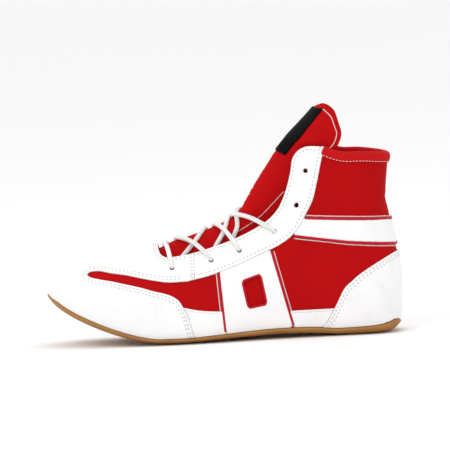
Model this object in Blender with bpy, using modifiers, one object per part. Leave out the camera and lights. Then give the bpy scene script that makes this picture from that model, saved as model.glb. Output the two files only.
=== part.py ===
"""Wrestling shoe for the left foot: a high thin upper on a gum rubber sole.

The toe points to -X, the lateral side faces -Y and the shoe stands on Z = 0,
with the origin in the middle of the heel's flat spot. Every leather and
textile piece follows one form, a sock-shaped surface of sections that fan
from the toe round the instep to the collar. A mark on that form is given by
its section and by its height in the section, from 0 at the base to 1 at the
top, so outlines, holes and laces follow the sizes below.
"""
import math
from collections import namedtuple

import bmesh
import bpy
import numpy as np
from mathutils import Matrix, Vector

# Driving sizes, in metres
FORM_LENGTH = 0.2771
BALL_WIDTH = 0.094
HEEL_WIDTH = 0.064
COLLAR_WIDTH = 0.060
INSTEP_HEIGHT = 0.0903
COLLAR_HEIGHT = 0.138
HEEL_HEIGHT = 0.0353
TOE_SPRING = 0.0488
ARCH_LIFT = 0.003
SOLE_THICKNESS = 0.0024
UPPER_WALL = 0.0020
OVERLAY_THICKNESS = 0.0012
BINDING_THICKNESS = 0.0008
INSOLE_THICKNESS = 0.0030
TONGUE_THICKNESS = 0.0020
LABEL_THICKNESS = 0.0008
LABEL_WIDTH = 0.030
LACE_DIAMETER = 0.0040
EYELET_DIAMETER = 0.0036
FIT_GAP = 0.0003
SEAM_GAP = 0.0004
INSOLE_EASE = 0.0007

# Shares of the form's length and of the sole
HEEL_CENTRE = 0.1505
LASTING_SHARE = 0.62
LACE_TUCK = 0.54
LACE_SLANT = 0.4
SOLE_PRESS = 0.00015

# Worked out from the sizes above
FLOOR = SOLE_THICKNESS + FIT_GAP
INSIDE = UPPER_WALL + INSOLE_EASE
FACE = FIT_GAP + OVERLAY_THICKNESS
LACE_SEAT = 3 * FIT_GAP + LACE_DIAMETER / 2
REACH = FORM_LENGTH / 2

# Mesh fineness. Between the two seam sections a line of the mesh follows the sole's edge,
# with SOLE_LINES under it as shares of the way there, and the rest spread above it.
RINGS = 25
WALL_LINES = 7
SOLE_LINES = (0.5, 0.85, 1.0)
SEAM_FIRST = 2.3
SEAM_LAST = 14.0
SECTION_STEPS = 120
EYELET_SIDES = 8

# Side view of each section, as shares of the named sizes.
# base_back and top_back run from the heel and follow FORM_LENGTH. spring follows
# TOE_SPRING, arch ARCH_LIFT and heel HEEL_HEIGHT. shaft is the share of the rise from
# heel to collar, instep follows INSTEP_HEIGHT and shin is the rise from instep to collar.
Side = namedtuple("Side", "base_back spring arch heel shaft top_back instep shin")
SIDES = [
    Side(1.000, 1.000, 0.00, 0.000, 0.000, 1.000, 0.000, 0.000),
    Side(0.996, 0.879, 0.00, 0.000, 0.000, 0.994, 0.128, 0.000),
    Side(0.979, 0.740, 0.00, 0.000, 0.000, 0.973, 0.255, 0.000),
    Side(0.943, 0.568, 0.00, 0.000, 0.000, 0.935, 0.379, 0.000),
    Side(0.890, 0.385, 0.00, 0.000, 0.000, 0.879, 0.496, 0.000),
    Side(0.822, 0.211, 0.00, 0.000, 0.000, 0.811, 0.620, 0.000),
    Side(0.753, 0.076, 0.00, 0.000, 0.000, 0.744, 0.732, 0.000),
    Side(0.681, 0.000, 0.00, 0.000, 0.000, 0.677, 0.814, 0.000),
    Side(0.612, 0.000, 0.00, 0.000, 0.000, 0.605, 0.856, 0.000),
    Side(0.526, 0.000, 0.33, 0.000, 0.000, 0.529, 0.928, 0.000),
    Side(0.439, 0.000, 0.70, 0.000, 0.000, 0.468, 1.000, 0.000),
    Side(0.349, 0.000, 0.97, 0.000, 0.000, 0.423, 1.000, 0.178),
    Side(0.259, 0.000, 0.80, 0.000, 0.000, 0.394, 1.000, 0.346),
    Side(0.179, 0.000, 0.00, 0.000, 0.000, 0.378, 1.000, 0.482),
    Side(0.104, 0.000, 0.00, 0.000, 0.000, 0.367, 1.000, 0.587),
    Side(0.053, 0.000, 0.00, 0.037, 0.000, 0.360, 1.000, 0.660),
    Side(0.021, 0.000, 0.00, 0.218, 0.000, 0.354, 1.000, 0.723),
    Side(0.003, 0.000, 0.00, 0.561, 0.000, 0.349, 1.000, 0.786),
    Side(0.000, 0.000, 0.00, 1.000, 0.000, 0.344, 1.000, 0.849),
    Side(0.005, 0.000, 0.00, 1.000, 0.166, 0.338, 1.000, 0.922),
    Side(0.014, 0.000, 0.00, 1.000, 0.351, 0.331, 1.000, 1.006),
    Side(0.028, 0.000, 0.00, 1.000, 0.555, 0.324, 1.000, 1.090),
    Side(0.034, 0.000, 0.00, 1.000, 0.701, 0.317, 1.000, 1.174),
    Side(0.024, 0.000, 0.00, 1.000, 0.896, 0.310, 1.000, 1.258),
    Side(0.015, 0.000, 0.00, 1.000, 1.110, 0.295, 1.000, 1.363),
    Side(0.010, 0.000, 0.00, 1.000, 1.266, 0.259, 1.000, 1.572),
    Side(0.006, 0.000, 0.00, 1.000, 1.422, 0.215, 1.000, 1.845),
]

# Breadth of the same sections. lateral, medial and swing are shares of girth, widest is
# the height of the fullest line, and low and high are the powers of the round below and
# above it: 2 is an ellipse, and more is squarer.
Breadth = namedtuple("Breadth", "girth lateral medial swing widest low high")
BREADTHS = [
    Breadth(BALL_WIDTH, 0.000, 0.000, 0.074, 0.50, 2.2, 2.20),
    Breadth(BALL_WIDTH, 0.096, 0.096, 0.074, 0.48, 2.4, 2.20),
    Breadth(BALL_WIDTH, 0.197, 0.186, 0.072, 0.44, 2.9, 2.20),
    Breadth(BALL_WIDTH, 0.298, 0.277, 0.069, 0.40, 3.8, 2.20),
    Breadth(BALL_WIDTH, 0.383, 0.351, 0.064, 0.36, 4.8, 2.15),
    Breadth(BALL_WIDTH, 0.452, 0.410, 0.053, 0.33, 5.6, 2.10),
    Breadth(BALL_WIDTH, 0.489, 0.447, 0.043, 0.31, 6.2, 2.00),
    Breadth(BALL_WIDTH, 0.511, 0.473, 0.027, 0.30, 6.5, 1.90),
    Breadth(BALL_WIDTH, 0.505, 0.479, 0.011, 0.30, 6.5, 1.80),
    Breadth(BALL_WIDTH, 0.463, 0.436, 0.000, 0.30, 6.2, 1.70),
    Breadth(BALL_WIDTH, 0.410, 0.372, 0.000, 0.30, 6.0, 1.65),
    Breadth(HEEL_WIDTH, 0.539, 0.492, 0.000, 0.31, 6.0, 1.65),
    Breadth(HEEL_WIDTH, 0.508, 0.492, 0.000, 0.33, 6.2, 1.70),
    Breadth(HEEL_WIDTH, 0.500, 0.500, 0.000, 0.35, 6.4, 1.75),
    Breadth(HEEL_WIDTH, 0.508, 0.508, 0.000, 0.37, 6.0, 1.80),
    Breadth(HEEL_WIDTH, 0.508, 0.508, 0.000, 0.39, 4.6, 1.85),
    Breadth(HEEL_WIDTH, 0.505, 0.505, 0.000, 0.41, 3.3, 1.90),
    Breadth(HEEL_WIDTH, 0.500, 0.500, 0.000, 0.43, 2.7, 1.90),
    Breadth(HEEL_WIDTH, 0.492, 0.492, 0.000, 0.45, 2.4, 1.95),
    Breadth(COLLAR_WIDTH, 0.517, 0.517, 0.000, 0.46, 2.2, 2.00),
    Breadth(COLLAR_WIDTH, 0.508, 0.508, 0.000, 0.47, 2.1, 2.00),
    Breadth(COLLAR_WIDTH, 0.500, 0.500, 0.000, 0.48, 2.1, 2.00),
    Breadth(COLLAR_WIDTH, 0.500, 0.500, 0.000, 0.49, 2.1, 2.00),
    Breadth(COLLAR_WIDTH, 0.500, 0.500, 0.000, 0.50, 2.1, 2.00),
    Breadth(COLLAR_WIDTH, 0.508, 0.508, 0.000, 0.50, 2.1, 2.00),
    Breadth(COLLAR_WIDTH, 0.508, 0.508, 0.000, 0.50, 2.1, 2.00),
    Breadth(COLLAR_WIDTH, 0.508, 0.508, 0.000, 0.50, 2.1, 2.00),
]
LAST_SECTION = len(SIDES) - 1
COLLAR_SECTION = 24.3

# Edges of the pieces, as marks on the form
Mark = namedtuple("Mark", "section height")
THROAT_EDGE = [
    Mark(6.89, 1.011), Mark(7.03, 0.915), Mark(7.22, 0.880), Mark(7.50, 0.870),
    Mark(8.12, 0.861), Mark(8.94, 0.853), Mark(9.83, 0.853), Mark(11.18, 0.841),
    Mark(12.30, 0.840), Mark(13.40, 0.856), Mark(14.80, 0.881), Mark(16.10, 0.893),
    Mark(19.03, 0.894), Mark(21.26, 0.895), Mark(22.37, 0.869), Mark(22.84, 0.837),
    Mark(23.37, 0.642),
]
COLLAR_EDGE = [Mark(23.24, 0.544), Mark(23.22, 0.459), Mark(23.37, 0.282), Mark(23.48, 0.005)]
SOLE_EDGE = [
    Mark(1.20, 0.080), Mark(2.30, 0.034), Mark(3.24, 0.039), Mark(3.97, 0.036),
    Mark(4.75, 0.030), Mark(5.52, 0.022), Mark(6.20, 0.014), Mark(7.00, 0.012),
    Mark(8.30, 0.013), Mark(9.24, 0.014), Mark(10.09, 0.017), Mark(11.13, 0.016),
    Mark(12.30, 0.018), Mark(13.59, 0.020), Mark(14.48, 0.024), Mark(15.30, 0.032),
    Mark(16.00, 0.020), Mark(16.30, 0.000),
]
VAMP_REAR = [
    Mark(8.24, 0.050), Mark(8.12, 0.177), Mark(8.02, 0.271), Mark(7.87, 0.349),
    Mark(7.69, 0.428), Mark(7.41, 0.483), Mark(7.10, 0.520), Mark(6.72, 0.554),
    Mark(6.13, 0.608), Mark(5.54, 0.655), Mark(4.94, 0.702), Mark(4.36, 0.743),
]
SLIT_NOSE = [Mark(3.99, 0.785), Mark(3.90, 0.815), Mark(3.96, 0.842), Mark(4.28, 0.862)]
VAMP_LOWER = [
    Mark(4.93, 0.810), Mark(5.54, 0.766), Mark(6.14, 0.713), Mark(6.73, 0.667),
    Mark(7.31, 0.627), Mark(7.77, 0.615),
]
VAMP_WING = [Mark(8.14, 0.608)]
EYESTAY_START = [Mark(8.15, 0.861), Mark(8.17, 0.608)]
EYESTAY_LOWER = [
    Mark(8.81, 0.606), Mark(9.28, 0.612), Mark(10.14, 0.632), Mark(11.11, 0.640),
    Mark(12.23, 0.652), Mark(13.38, 0.679), Mark(14.57, 0.713), Mark(16.23, 0.734),
    Mark(18.13, 0.708), Mark(20.14, 0.676), Mark(22.12, 0.640), Mark(23.19, 0.637),
]
COUNTER_FRONT = [
    Mark(12.40, 0.028), Mark(12.81, 0.096), Mark(13.27, 0.168), Mark(13.74, 0.233),
    Mark(14.47, 0.290), Mark(15.29, 0.311), Mark(16.10, 0.305), Mark(17.39, 0.240),
    Mark(18.64, 0.122), Mark(19.45, 0.010),
]
FOXING_FRONT = Mark(9.00, 0.262)
SADDLE = [Mark(9.20, 0.609), Mark(11.55, 0.645), Mark(11.43, 0.016), Mark(9.29, 0.014)]
SADDLE_WINDOW = [Mark(10.03, 0.480), Mark(10.80, 0.490), Mark(10.78, 0.240), Mark(10.12, 0.235)]
BAND_LOWER = [Mark(13.45, 0.672), Mark(17.54, 0.433), Mark(19.80, -0.008)]
BAND_UPPER = [Mark(15.66, 0.722), Mark(19.01, 0.437), Mark(20.68, -0.012)]
BINDING_LOWER = [Mark(22.66, 0.620), Mark(22.85, 0.480), Mark(23.04, 0.275), Mark(23.17, -0.080)]
TONGUE_SIDE = [
    Mark(25.95, 1.060), Mark(25.97, 0.925), Mark(25.45, 0.694), Mark(24.85, 0.580),
    Mark(24.26, 0.503), Mark(23.55, 0.505), Mark(21.46, 0.700), Mark(18.58, 0.770),
    Mark(15.20, 0.775), Mark(13.03, 0.745), Mark(11.58, 0.700), Mark(10.33, 0.690),
    Mark(9.23, 0.680), Mark(8.07, 0.690), Mark(6.91, 0.740), Mark(6.10, 0.800),
]
EYELETS = [
    Mark(7.46, 0.763), Mark(8.91, 0.741), Mark(10.10, 0.741),
    Mark(12.18, 0.748), Mark(15.93, 0.803), Mark(20.54, 0.775),
]
LACED_EYELETS = 4
LABEL_SIDE = [Mark(20.85, 0.955), Mark(20.85, 1.300), Mark(25.70, 1.300), Mark(25.70, 0.865)]

# The tongue's offset from the form, in metres: ridge is its middle line, which stands
# proud in the throat, and flank is its side, which passes under the eyestays.
Ease = namedtuple("Ease", "section ridge flank")
TONGUE_EASE = [
    Ease(6.0, -0.0031, -0.0031),
    Ease(6.9, -0.0031, -0.0034),
    Ease(7.5, 0.0000, -0.0064),
    Ease(8.4, 0.0008, -0.0066),
    Ease(9.4, 0.0010, -0.0066),
    Ease(10.3, 0.0018, -0.0066),
    Ease(11.3, 0.0062, -0.0066),
    Ease(12.2, 0.0078, -0.0064),
    Ease(13.0, 0.0080, -0.0060),
    Ease(16.0, 0.0070, -0.0045),
    Ease(20.0, 0.0045, -0.0040),
    Ease(23.0, 0.0010, -0.0040),
    Ease(26.0, 0.0000, -0.0030),
]
TONGUE_SPREAD = 0.26
TONGUE_ROOT = 6.1
TONGUE_RINGS = 22
TONGUE_SPOKES = 16


# Smooth curves through the tables
def hermite(values):
    """Return a curve through evenly numbered values that never overshoots them."""
    values = np.asarray(values, float)
    steps = np.diff(values)
    slopes = np.zeros_like(values)
    slopes[0], slopes[-1] = steps[0], steps[-1]
    same = steps[:-1] * steps[1:] > 0
    safe = np.where(same, steps[:-1] + steps[1:], 1.0)
    slopes[1:-1] = np.where(same, 2 * steps[:-1] * steps[1:] / safe, 0.0)

    def curve(place):
        place = np.clip(np.asarray(place, float), 0, len(values) - 1)
        k = np.minimum(place.astype(int), len(values) - 2)
        s = place - k
        rise = s * s * (3 - 2 * s)
        return (values[k] + (values[k + 1] - values[k]) * rise
                + slopes[k] * s * (1 - s) ** 2 - slopes[k + 1] * s * s * (1 - s))

    return curve


def column(rows, name):
    """One column of a table as a smooth curve over the section number."""
    return hermite([getattr(row, name) for row in rows])


def along(back):
    """X of a place that lies a share of the form's length ahead of the heel."""
    return (HEEL_CENTRE - back) * FORM_LENGTH


SHAFT_RISE = COLLAR_HEIGHT - HEEL_HEIGHT
SHIN_RISE = COLLAR_HEIGHT - INSTEP_HEIGHT
BASE_X = hermite([along(row.base_back) for row in SIDES])
BASE_Z = hermite([FLOOR + row.spring * TOE_SPRING + row.arch * ARCH_LIFT
                  + row.heel * HEEL_HEIGHT + row.shaft * SHAFT_RISE for row in SIDES])
TOP_X = hermite([along(row.top_back) for row in SIDES])
TOP_Z = hermite([FLOOR + row.spring * TOE_SPRING + row.instep * INSTEP_HEIGHT
                 + row.shin * SHIN_RISE for row in SIDES])
LATERAL = hermite([row.girth * row.lateral for row in BREADTHS])
MEDIAL = hermite([row.girth * row.medial for row in BREADTHS])
SWING = hermite([BALL_WIDTH * row.swing for row in BREADTHS])
WIDEST = column(BREADTHS, "widest")
LOW = column(BREADTHS, "low")
HIGH = column(BREADTHS, "high")


# The form
def side_view(section, height):
    """X and Z of a mark, on the line from the section's base to its top."""
    base_x, base_z = BASE_X(section), BASE_Z(section)
    return (base_x + (TOP_X(section) - base_x) * height,
            base_z + (TOP_Z(section) - base_z) * height)


def half_round(section, steps=SECTION_STEPS):
    """Heights and breadth shares of half a section, from its base to its top."""
    angle = np.linspace(0, math.pi / 2, steps)
    widest, low, high = WIDEST(section), LOW(section), HIGH(section)
    lower = widest * (1 - np.cos(angle) ** (2 / low))
    share = np.concatenate([np.sin(angle) ** (2 / low), np.sin(angle[-2::-1]) ** (2 / high)])
    upper = widest + (1 - widest) * (1 - share[steps:] ** high).clip(0) ** (1 / high)
    return np.concatenate([lower, upper]), share


def loop_points(section, turns):
    """Points of one section at shares of its way round: 0 base, 0.25 lateral, 0.5 top."""
    height, share = half_round(section)
    turns = np.asarray(turns) % 1.0
    points = np.zeros((len(turns), 3))
    for sign, breadth, inside in ((-1, LATERAL, turns <= 0.5), (1, MEDIAL, turns > 0.5)):
        x, z = side_view(section, height)
        y = SWING(section) + sign * breadth(section) * share
        line = np.stack([x, y, z], axis=1)
        run = np.concatenate([[0], np.cumsum(np.linalg.norm(np.diff(line, axis=0), axis=1))])
        run = run / max(run[-1], 1e-9)
        way = 2 * np.where(turns <= 0.5, turns, 1 - turns)[inside]
        points[inside] = np.stack([np.interp(way, run, line[:, axis]) for axis in range(3)], axis=1)
    return points


def turn_at(section, height, side):
    """The way round a section at which it reaches a height, on side -1 lateral or +1 medial."""
    heights, share = half_round(section)
    x, z = side_view(section, heights)
    breadth = LATERAL if side < 0 else MEDIAL
    line = np.stack([x, breadth(section) * share, z], axis=1)
    run = np.concatenate([[0], np.cumsum(np.linalg.norm(np.diff(line, axis=0), axis=1))])
    half = np.interp(height, heights, run / run[-1]) / 2
    return half if side < 0 else 1 - half


def form_points(sections, turns, offsets=0.0):
    """A grid of points on the form, moved out along the surface's normal by an offset."""
    nudge = 0.02
    swirl = 0.004
    rows = np.broadcast_to(turns, (len(sections), np.shape(turns)[-1]))
    here = np.array([loop_points(s, row) for s, row in zip(sections, rows)])
    ahead = np.array([loop_points(min(s + nudge, LAST_SECTION), row) for s, row in zip(sections, rows)])
    behind = np.array([loop_points(max(s - nudge, 0.0), row) for s, row in zip(sections, rows)])
    left = np.array([loop_points(s, row + swirl) for s, row in zip(sections, rows)])
    right = np.array([loop_points(s, row - swirl) for s, row in zip(sections, rows)])
    normal = np.cross(ahead - behind, left - right)
    size = np.linalg.norm(normal, axis=2, keepdims=True)
    normal = normal / np.maximum(size, 1e-12)
    tip = np.asarray(sections) < nudge
    normal[tip] = np.array([-1.0, 0.0, 0.0])
    return here + normal * np.reshape(offsets, np.shape(offsets) + (1,) * (3 - np.ndim(offsets)))


# Blender helpers
def clear_scene():
    for old in list(bpy.data.objects):
        bpy.data.objects.remove(old, do_unlink=True)


def new_collection(name):
    collection = bpy.data.collections.new(name)
    bpy.context.scene.collection.children.link(collection)
    return collection


def finish(name, colour, roughness):
    """A plain material for one piece."""
    material = bpy.data.materials.new(name)
    material.use_nodes = True
    shader = material.node_tree.nodes["Principled BSDF"]
    shader.inputs["Base Color"].default_value = (*colour, 1.0)
    shader.inputs["Roughness"].default_value = roughness
    shader.inputs["Metallic"].default_value = 0.0
    return material


def add_object(name, mesh, collection, material=None):
    item = bpy.data.objects.new(name, mesh)
    collection.objects.link(item)
    if material:
        mesh.materials.append(material)
    return item


def grid_mesh(name, points, closed, pole=False):
    """A surface over a grid of points; closed joins its sides, pole its first ring."""
    rings, spokes = points.shape[:2]
    shape = bmesh.new()
    rows = [[shape.verts.new(point) for point in ring] for ring in points]
    if pole:
        rows[0] = [rows[0][0]] * spokes
    wraps = spokes if closed else spokes - 1
    for i in range(rings - 1):
        for j in range(wraps):
            after = (j + 1) % spokes
            here, over, ahead, beside = rows[i][j], rows[i + 1][j], rows[i + 1][after], rows[i][after]
            for corners in ((here, over, ahead), (here, ahead, beside)):
                if len(set(corners)) == 3:
                    shape.faces.new(corners)
    loose = [vert for vert in shape.verts if not vert.link_faces]
    bmesh.ops.delete(shape, geom=loose, context="VERTS")
    mesh = bpy.data.meshes.new(name)
    shape.to_mesh(mesh)
    shape.free()
    return mesh


def add_wall(item, thickness, side):
    """Give an open surface its thickness, outwards for side 1 and inwards for side -1."""
    wall = item.modifiers.new("Wall", "SOLIDIFY")
    wall.thickness = thickness
    wall.offset = side
    wall.use_even_offset = False


def cut(item, cutter, operation="DIFFERENCE"):
    knife = item.modifiers.new(cutter.name, "BOOLEAN")
    knife.operation = operation
    knife.solver = "EXACT"
    knife.object = cutter


def hide_cutter(item):
    item.hide_render = True
    item.display_type = "WIRE"
    return item


def prism(name, corners, low, high, collection, axis="Y"):
    """A closed block over an outline, from low to high along Y, or along Z in plan."""
    shape = bmesh.new()
    if axis == "Y":
        verts = [shape.verts.new((a, low, b)) for a, b in corners]
        push = Vector((0, high - low, 0))
    else:
        verts = [shape.verts.new((a, b, low)) for a, b in corners]
        push = Vector((0, 0, high - low))
    base = shape.faces.new(verts)
    top = bmesh.ops.extrude_face_region(shape, geom=[base])
    moved = [part for part in top["geom"] if isinstance(part, bmesh.types.BMVert)]
    bmesh.ops.translate(shape, vec=push, verts=moved)
    bmesh.ops.recalc_face_normals(shape, faces=shape.faces)
    mesh = bpy.data.meshes.new(name)
    shape.to_mesh(mesh)
    shape.free()
    return hide_cutter(add_object(name, mesh, collection))


def outline(marks):
    return [tuple(float(value) for value in side_view(*mark)) for mark in marks]


# Side-view outlines of the pieces, closed beyond the form
def open_top_outline():
    """Everything above the throat and the collar."""
    throat, collar = outline(THROAT_EDGE), outline(COLLAR_EDGE)
    sky = TOP_Z(LAST_SECTION) + REACH
    return throat + collar + [(REACH, collar[-1][1]), (REACH, sky), (throat[0][0], sky)]


def sole_line():
    """The sole's upper edge, carried on level beyond the toe and the heel."""
    edge = outline(SOLE_EDGE)
    return [(-FORM_LENGTH - REACH, edge[0][1])] + edge + [(REACH, edge[-1][1])]


def seam_mark(section):
    """The mark on the sole's upper edge at a section."""
    return Mark(section, np.interp(section, [mark.section for mark in SOLE_EDGE],
                                   [mark.height for mark in SOLE_EDGE]))


def sole_outline():
    """Everything below the sole's upper edge, and more where a line of the mesh is that edge."""
    line = sole_line()
    first, last = outline([seam_mark(SEAM_FIRST), seam_mark(SEAM_LAST)])
    ahead = [point for point in line if point[0] < first[0]] + [first]
    behind = [last] + [point for point in line if point[0] > last[0]]
    above = [(first[0], TOE_SPRING), (last[0], TOE_SPRING)]
    return ahead + above + behind + [(REACH, -REACH), (-FORM_LENGTH - REACH, -REACH)]


def stretch(line, start, end):
    """The part of a line that runs from one X to another, either way."""
    xs, zs = zip(*sorted(line))
    inner = [point for point in sorted(line) if min(start, end) < point[0] < max(start, end)]
    ends = [(x, float(np.interp(x, xs, zs))) for x in (min(start, end), max(start, end))]
    whole = [ends[0]] + inner + [ends[1]]
    return whole if start < end else whole[::-1]


def sole_seam(start, end):
    """The lower edge of the leather from one X to another, just clear of the sole."""
    return [(x, z + SEAM_GAP) for x, z in stretch(sole_line(), start, end)]


def vamp_outline():
    """The toe and the vamp, with the long slit that opens at the rear."""
    edge = outline(VAMP_REAR + SLIT_NOSE + VAMP_LOWER + VAMP_WING + THROAT_EDGE[4:0:-1])
    mouth = side_view(*THROAT_EDGE[0])
    front = -FORM_LENGTH - REACH
    sky = REACH + mouth[1]
    return edge + [mouth, (mouth[0], sky), (front, sky)] + sole_seam(front, edge[0][0])


def eyestay_outline():
    """The band of eyelets from the vamp's wing up to the collar."""
    return outline(EYESTAY_START + EYESTAY_LOWER + THROAT_EDGE[:4:-1])


def counter_outline():
    """The heel counter, from its curved front edge round the back."""
    edge = outline(COUNTER_FRONT)
    return edge + [(REACH, edge[-1][1])] + sole_seam(REACH, edge[0][0])


def saddle_outline():
    """The midfoot panel from the eyestay's lower edge down to the sole."""
    front_top, rear_top, rear_foot, front_foot = (point[0] for point in outline(SADDLE))
    edge = stretch(outline(EYESTAY_LOWER), rear_top, front_top)
    return [(x, z - 2 * SEAM_GAP) for x, z in edge] + sole_seam(front_foot, rear_foot)


def foxing_front_outline():
    """The low strip between the vamp's rear edge and the saddle."""
    rear = [(x + SEAM_GAP, z) for x, z in outline(VAMP_REAR[:4])]
    top, foot = side_view(*SADDLE[0]), side_view(*SADDLE[3])
    level = side_view(*FOXING_FRONT)[1]
    share = (level - foot[1]) / (top[1] - foot[1])
    corner = (foot[0] + (top[0] - foot[0]) * share - SEAM_GAP, level)
    return rear + [corner] + sole_seam(foot[0] - SEAM_GAP, rear[0][0])


def foxing_rear_outline():
    """The low strip between the saddle and the heel counter."""
    ahead = [(x - SEAM_GAP, z) for x, z in outline(COUNTER_FRONT[:3])]
    top, foot = side_view(*SADDLE[1]), side_view(*SADDLE[2])
    level = ahead[-1][1]
    share = (level - foot[1]) / (top[1] - foot[1])
    corner = (foot[0] + (top[0] - foot[0]) * share + SEAM_GAP, level)
    return ahead[::-1] + sole_seam(ahead[0][0], foot[0] + SEAM_GAP) + [corner]


def band_outline():
    """The level band from the eyestay's rear edge round the heel, closed behind it."""
    lower, upper = outline(BAND_LOWER), outline(BAND_UPPER)
    front = outline(EYESTAY_LOWER)
    clear = [(x + SEAM_GAP, z - SEAM_GAP) for x, z in front if lower[0][1] < z < upper[0][1]]
    return lower + [(REACH, lower[-1][1]), (REACH, upper[-1][1])] + upper[::-1] + clear[::-1]


def binding_outline(rise):
    """A strip along the collar that ends a little above or below its edge."""
    lower = outline(BINDING_LOWER)
    upper = [(x, z + rise) for x, z in outline(COLLAR_EDGE)]
    corner = side_view(*THROAT_EDGE[-1])
    start = (corner[0] + SEAM_GAP, corner[1] + rise)
    return lower + [(REACH, upper[-1][1])] + upper[::-1] + [start]


def tongue_outline():
    """Everything behind and below the tongue's side edges."""
    edge = outline(TONGUE_SIDE)
    far = REACH + edge[0][1]
    return edge + [(edge[-1][0] - REACH, edge[-1][1]), (-FORM_LENGTH - REACH, -REACH),
                   (REACH, -REACH), (REACH, far), (edge[0][0], far)]


# The pieces
def sole_turns(section):
    """The shares of the way round at which the sole's edge is, lateral and medial."""
    place, height = seam_mark(float(np.clip(section, SEAM_FIRST, SEAM_LAST)))
    return turn_at(place, height, -1), turn_at(place, height, 1)


def floor_lines(section):
    """The mesh's lines under the sole's edge, from the medial side to the lateral."""
    lateral, medial = sole_turns(section)
    return [(medial - 1) * share for share in SOLE_LINES[::-1]] + [0.0] + [lateral * share for share in SOLE_LINES]


def wall_lines(section):
    """The mesh's lines above the sole's edge, over the top from lateral to medial."""
    lateral, medial = sole_turns(section)
    rise = np.linspace(lateral, 0.5, WALL_LINES + 1)[1:]
    return list(rise) + list(np.linspace(0.5, medial, WALL_LINES + 1)[1:-1])


def form_grid(offset):
    """Points over the whole form, open at the collar, and round each section from the medial edge."""
    places = np.linspace(0, COLLAR_SECTION, RINGS)
    return form_points(places, np.array([floor_lines(s) + wall_lines(s) for s in places]), offset)


def form_shell(name, inner, thickness, side, collection, material):
    """A wall over the whole form, open at the collar."""
    mesh = grid_mesh(name, form_grid(inner), closed=True, pole=True)
    shell = add_object(name, mesh, collection, material)
    add_wall(shell, thickness, side)
    return shell


def overlay(name, region, parts, material):
    """A thin piece on the upper, inside a region."""
    piece = form_shell(name, FIT_GAP, OVERLAY_THICKNESS, 1, parts, material)
    cut(piece, region, "INTERSECT")
    return piece


def make_upper(parts, knives, material):
    upper = form_shell("upper", 0.0, UPPER_WALL, -1, parts, material)
    cut(upper, knives["open_top"])
    cut(upper, knives["lasting"])
    cut(upper, knives["eyelets"])
    return upper


def make_outsole(parts, knives, material):
    """The gum sole: pressed a hair below the ground and cut flat there."""
    floor = form_grid(FIT_GAP)[:, :2 * len(SOLE_LINES) + 1]
    outsole = add_object("outsole", grid_mesh("outsole", floor, closed=False, pole=True), parts, material)
    add_wall(outsole, SOLE_THICKNESS + SOLE_PRESS, 1)
    cut(outsole, knives["sole"], "INTERSECT")
    cut(outsole, knives["ground"])
    return outsole


def make_insole(parts, cutters, material):
    """The last's own foot, clear of the wall, between the floor and the insole's top."""
    mesh = grid_mesh("insole", form_grid(-INSIDE), closed=True, pole=True)
    shape = bmesh.new()
    shape.from_mesh(mesh)
    bmesh.ops.holes_fill(shape, edges=[edge for edge in shape.edges if edge.is_boundary])
    bmesh.ops.recalc_face_normals(shape, faces=shape.faces)
    shape.to_mesh(mesh)
    shape.free()
    insole = add_object("insole", mesh, parts, material)
    rise = INSIDE + INSOLE_THICKNESS
    places = np.arange(3.0, 15.5, 0.5)
    crown = [(float(BASE_X(place)), float(BASE_Z(place)) + rise) for place in places]
    front = -FORM_LENGTH - REACH
    corners = [(front, crown[0][1])] + crown + [(REACH, crown[-1][1]), (REACH, -REACH), (front, -REACH)]
    slab = prism("insole_slab", corners, -REACH, REACH, cutters)
    cut(insole, slab, "INTERSECT")
    return insole


def throat_turn(section):
    """Half the throat's opening at a section, as a share of the way round it."""
    marks = [mark for mark in THROAT_EDGE if mark.height < 1]
    height = np.interp(section, [mark.section for mark in marks], [mark.height for mark in marks])
    return 0.5 - turn_at(section, height, -1)


def tongue_offset(section, turns):
    """The ridge's offset in the middle of the throat, easing to the flank's at its edge."""
    places = [row.section for row in TONGUE_EASE]
    ridge = np.interp(section, places, [row.ridge for row in TONGUE_EASE])
    flank = np.interp(section, places, [row.flank for row in TONGUE_EASE])
    reach = np.minimum(np.abs(np.asarray(turns) - 0.5) / throat_turn(section), 1.0)
    return flank + (ridge - flank) * np.cos(reach * math.pi / 2) ** 2


def tongue_points(sections, turns, lift=0.0):
    offsets = np.array([tongue_offset(section, turns) for section in sections]) + lift
    return form_points(sections, turns, offsets)


def tongue_shell(name, lift, thickness, side, parts, material):
    """A wall over the whole tongue, lifted off its outer face."""
    sections = np.linspace(TONGUE_ROOT, LAST_SECTION - 0.02, TONGUE_RINGS)
    turns = np.linspace(0.5 - TONGUE_SPREAD, 0.5 + TONGUE_SPREAD, TONGUE_SPOKES + 1)
    shell = add_object(name, grid_mesh(name, tongue_points(sections, turns, lift), closed=False), parts, material)
    add_wall(shell, thickness, side)
    return shell


def make_tongue(parts, cutters, material):
    tongue = tongue_shell("tongue", 0.0, TONGUE_THICKNESS, -1, parts, material)
    cut(tongue, prism("tongue_side", tongue_outline(), -REACH, REACH, cutters))
    return tongue


def make_label(parts, cutters, material):
    """A plain patch on the tongue's ridge, near its top."""
    label = tongue_shell("tongue_label", FIT_GAP, LABEL_THICKNESS, 1, parts, material)
    region = prism("label_region", outline(LABEL_SIDE), -LABEL_WIDTH / 2, LABEL_WIDTH / 2, cutters)
    cut(label, region, "INTERSECT")
    return label


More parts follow.
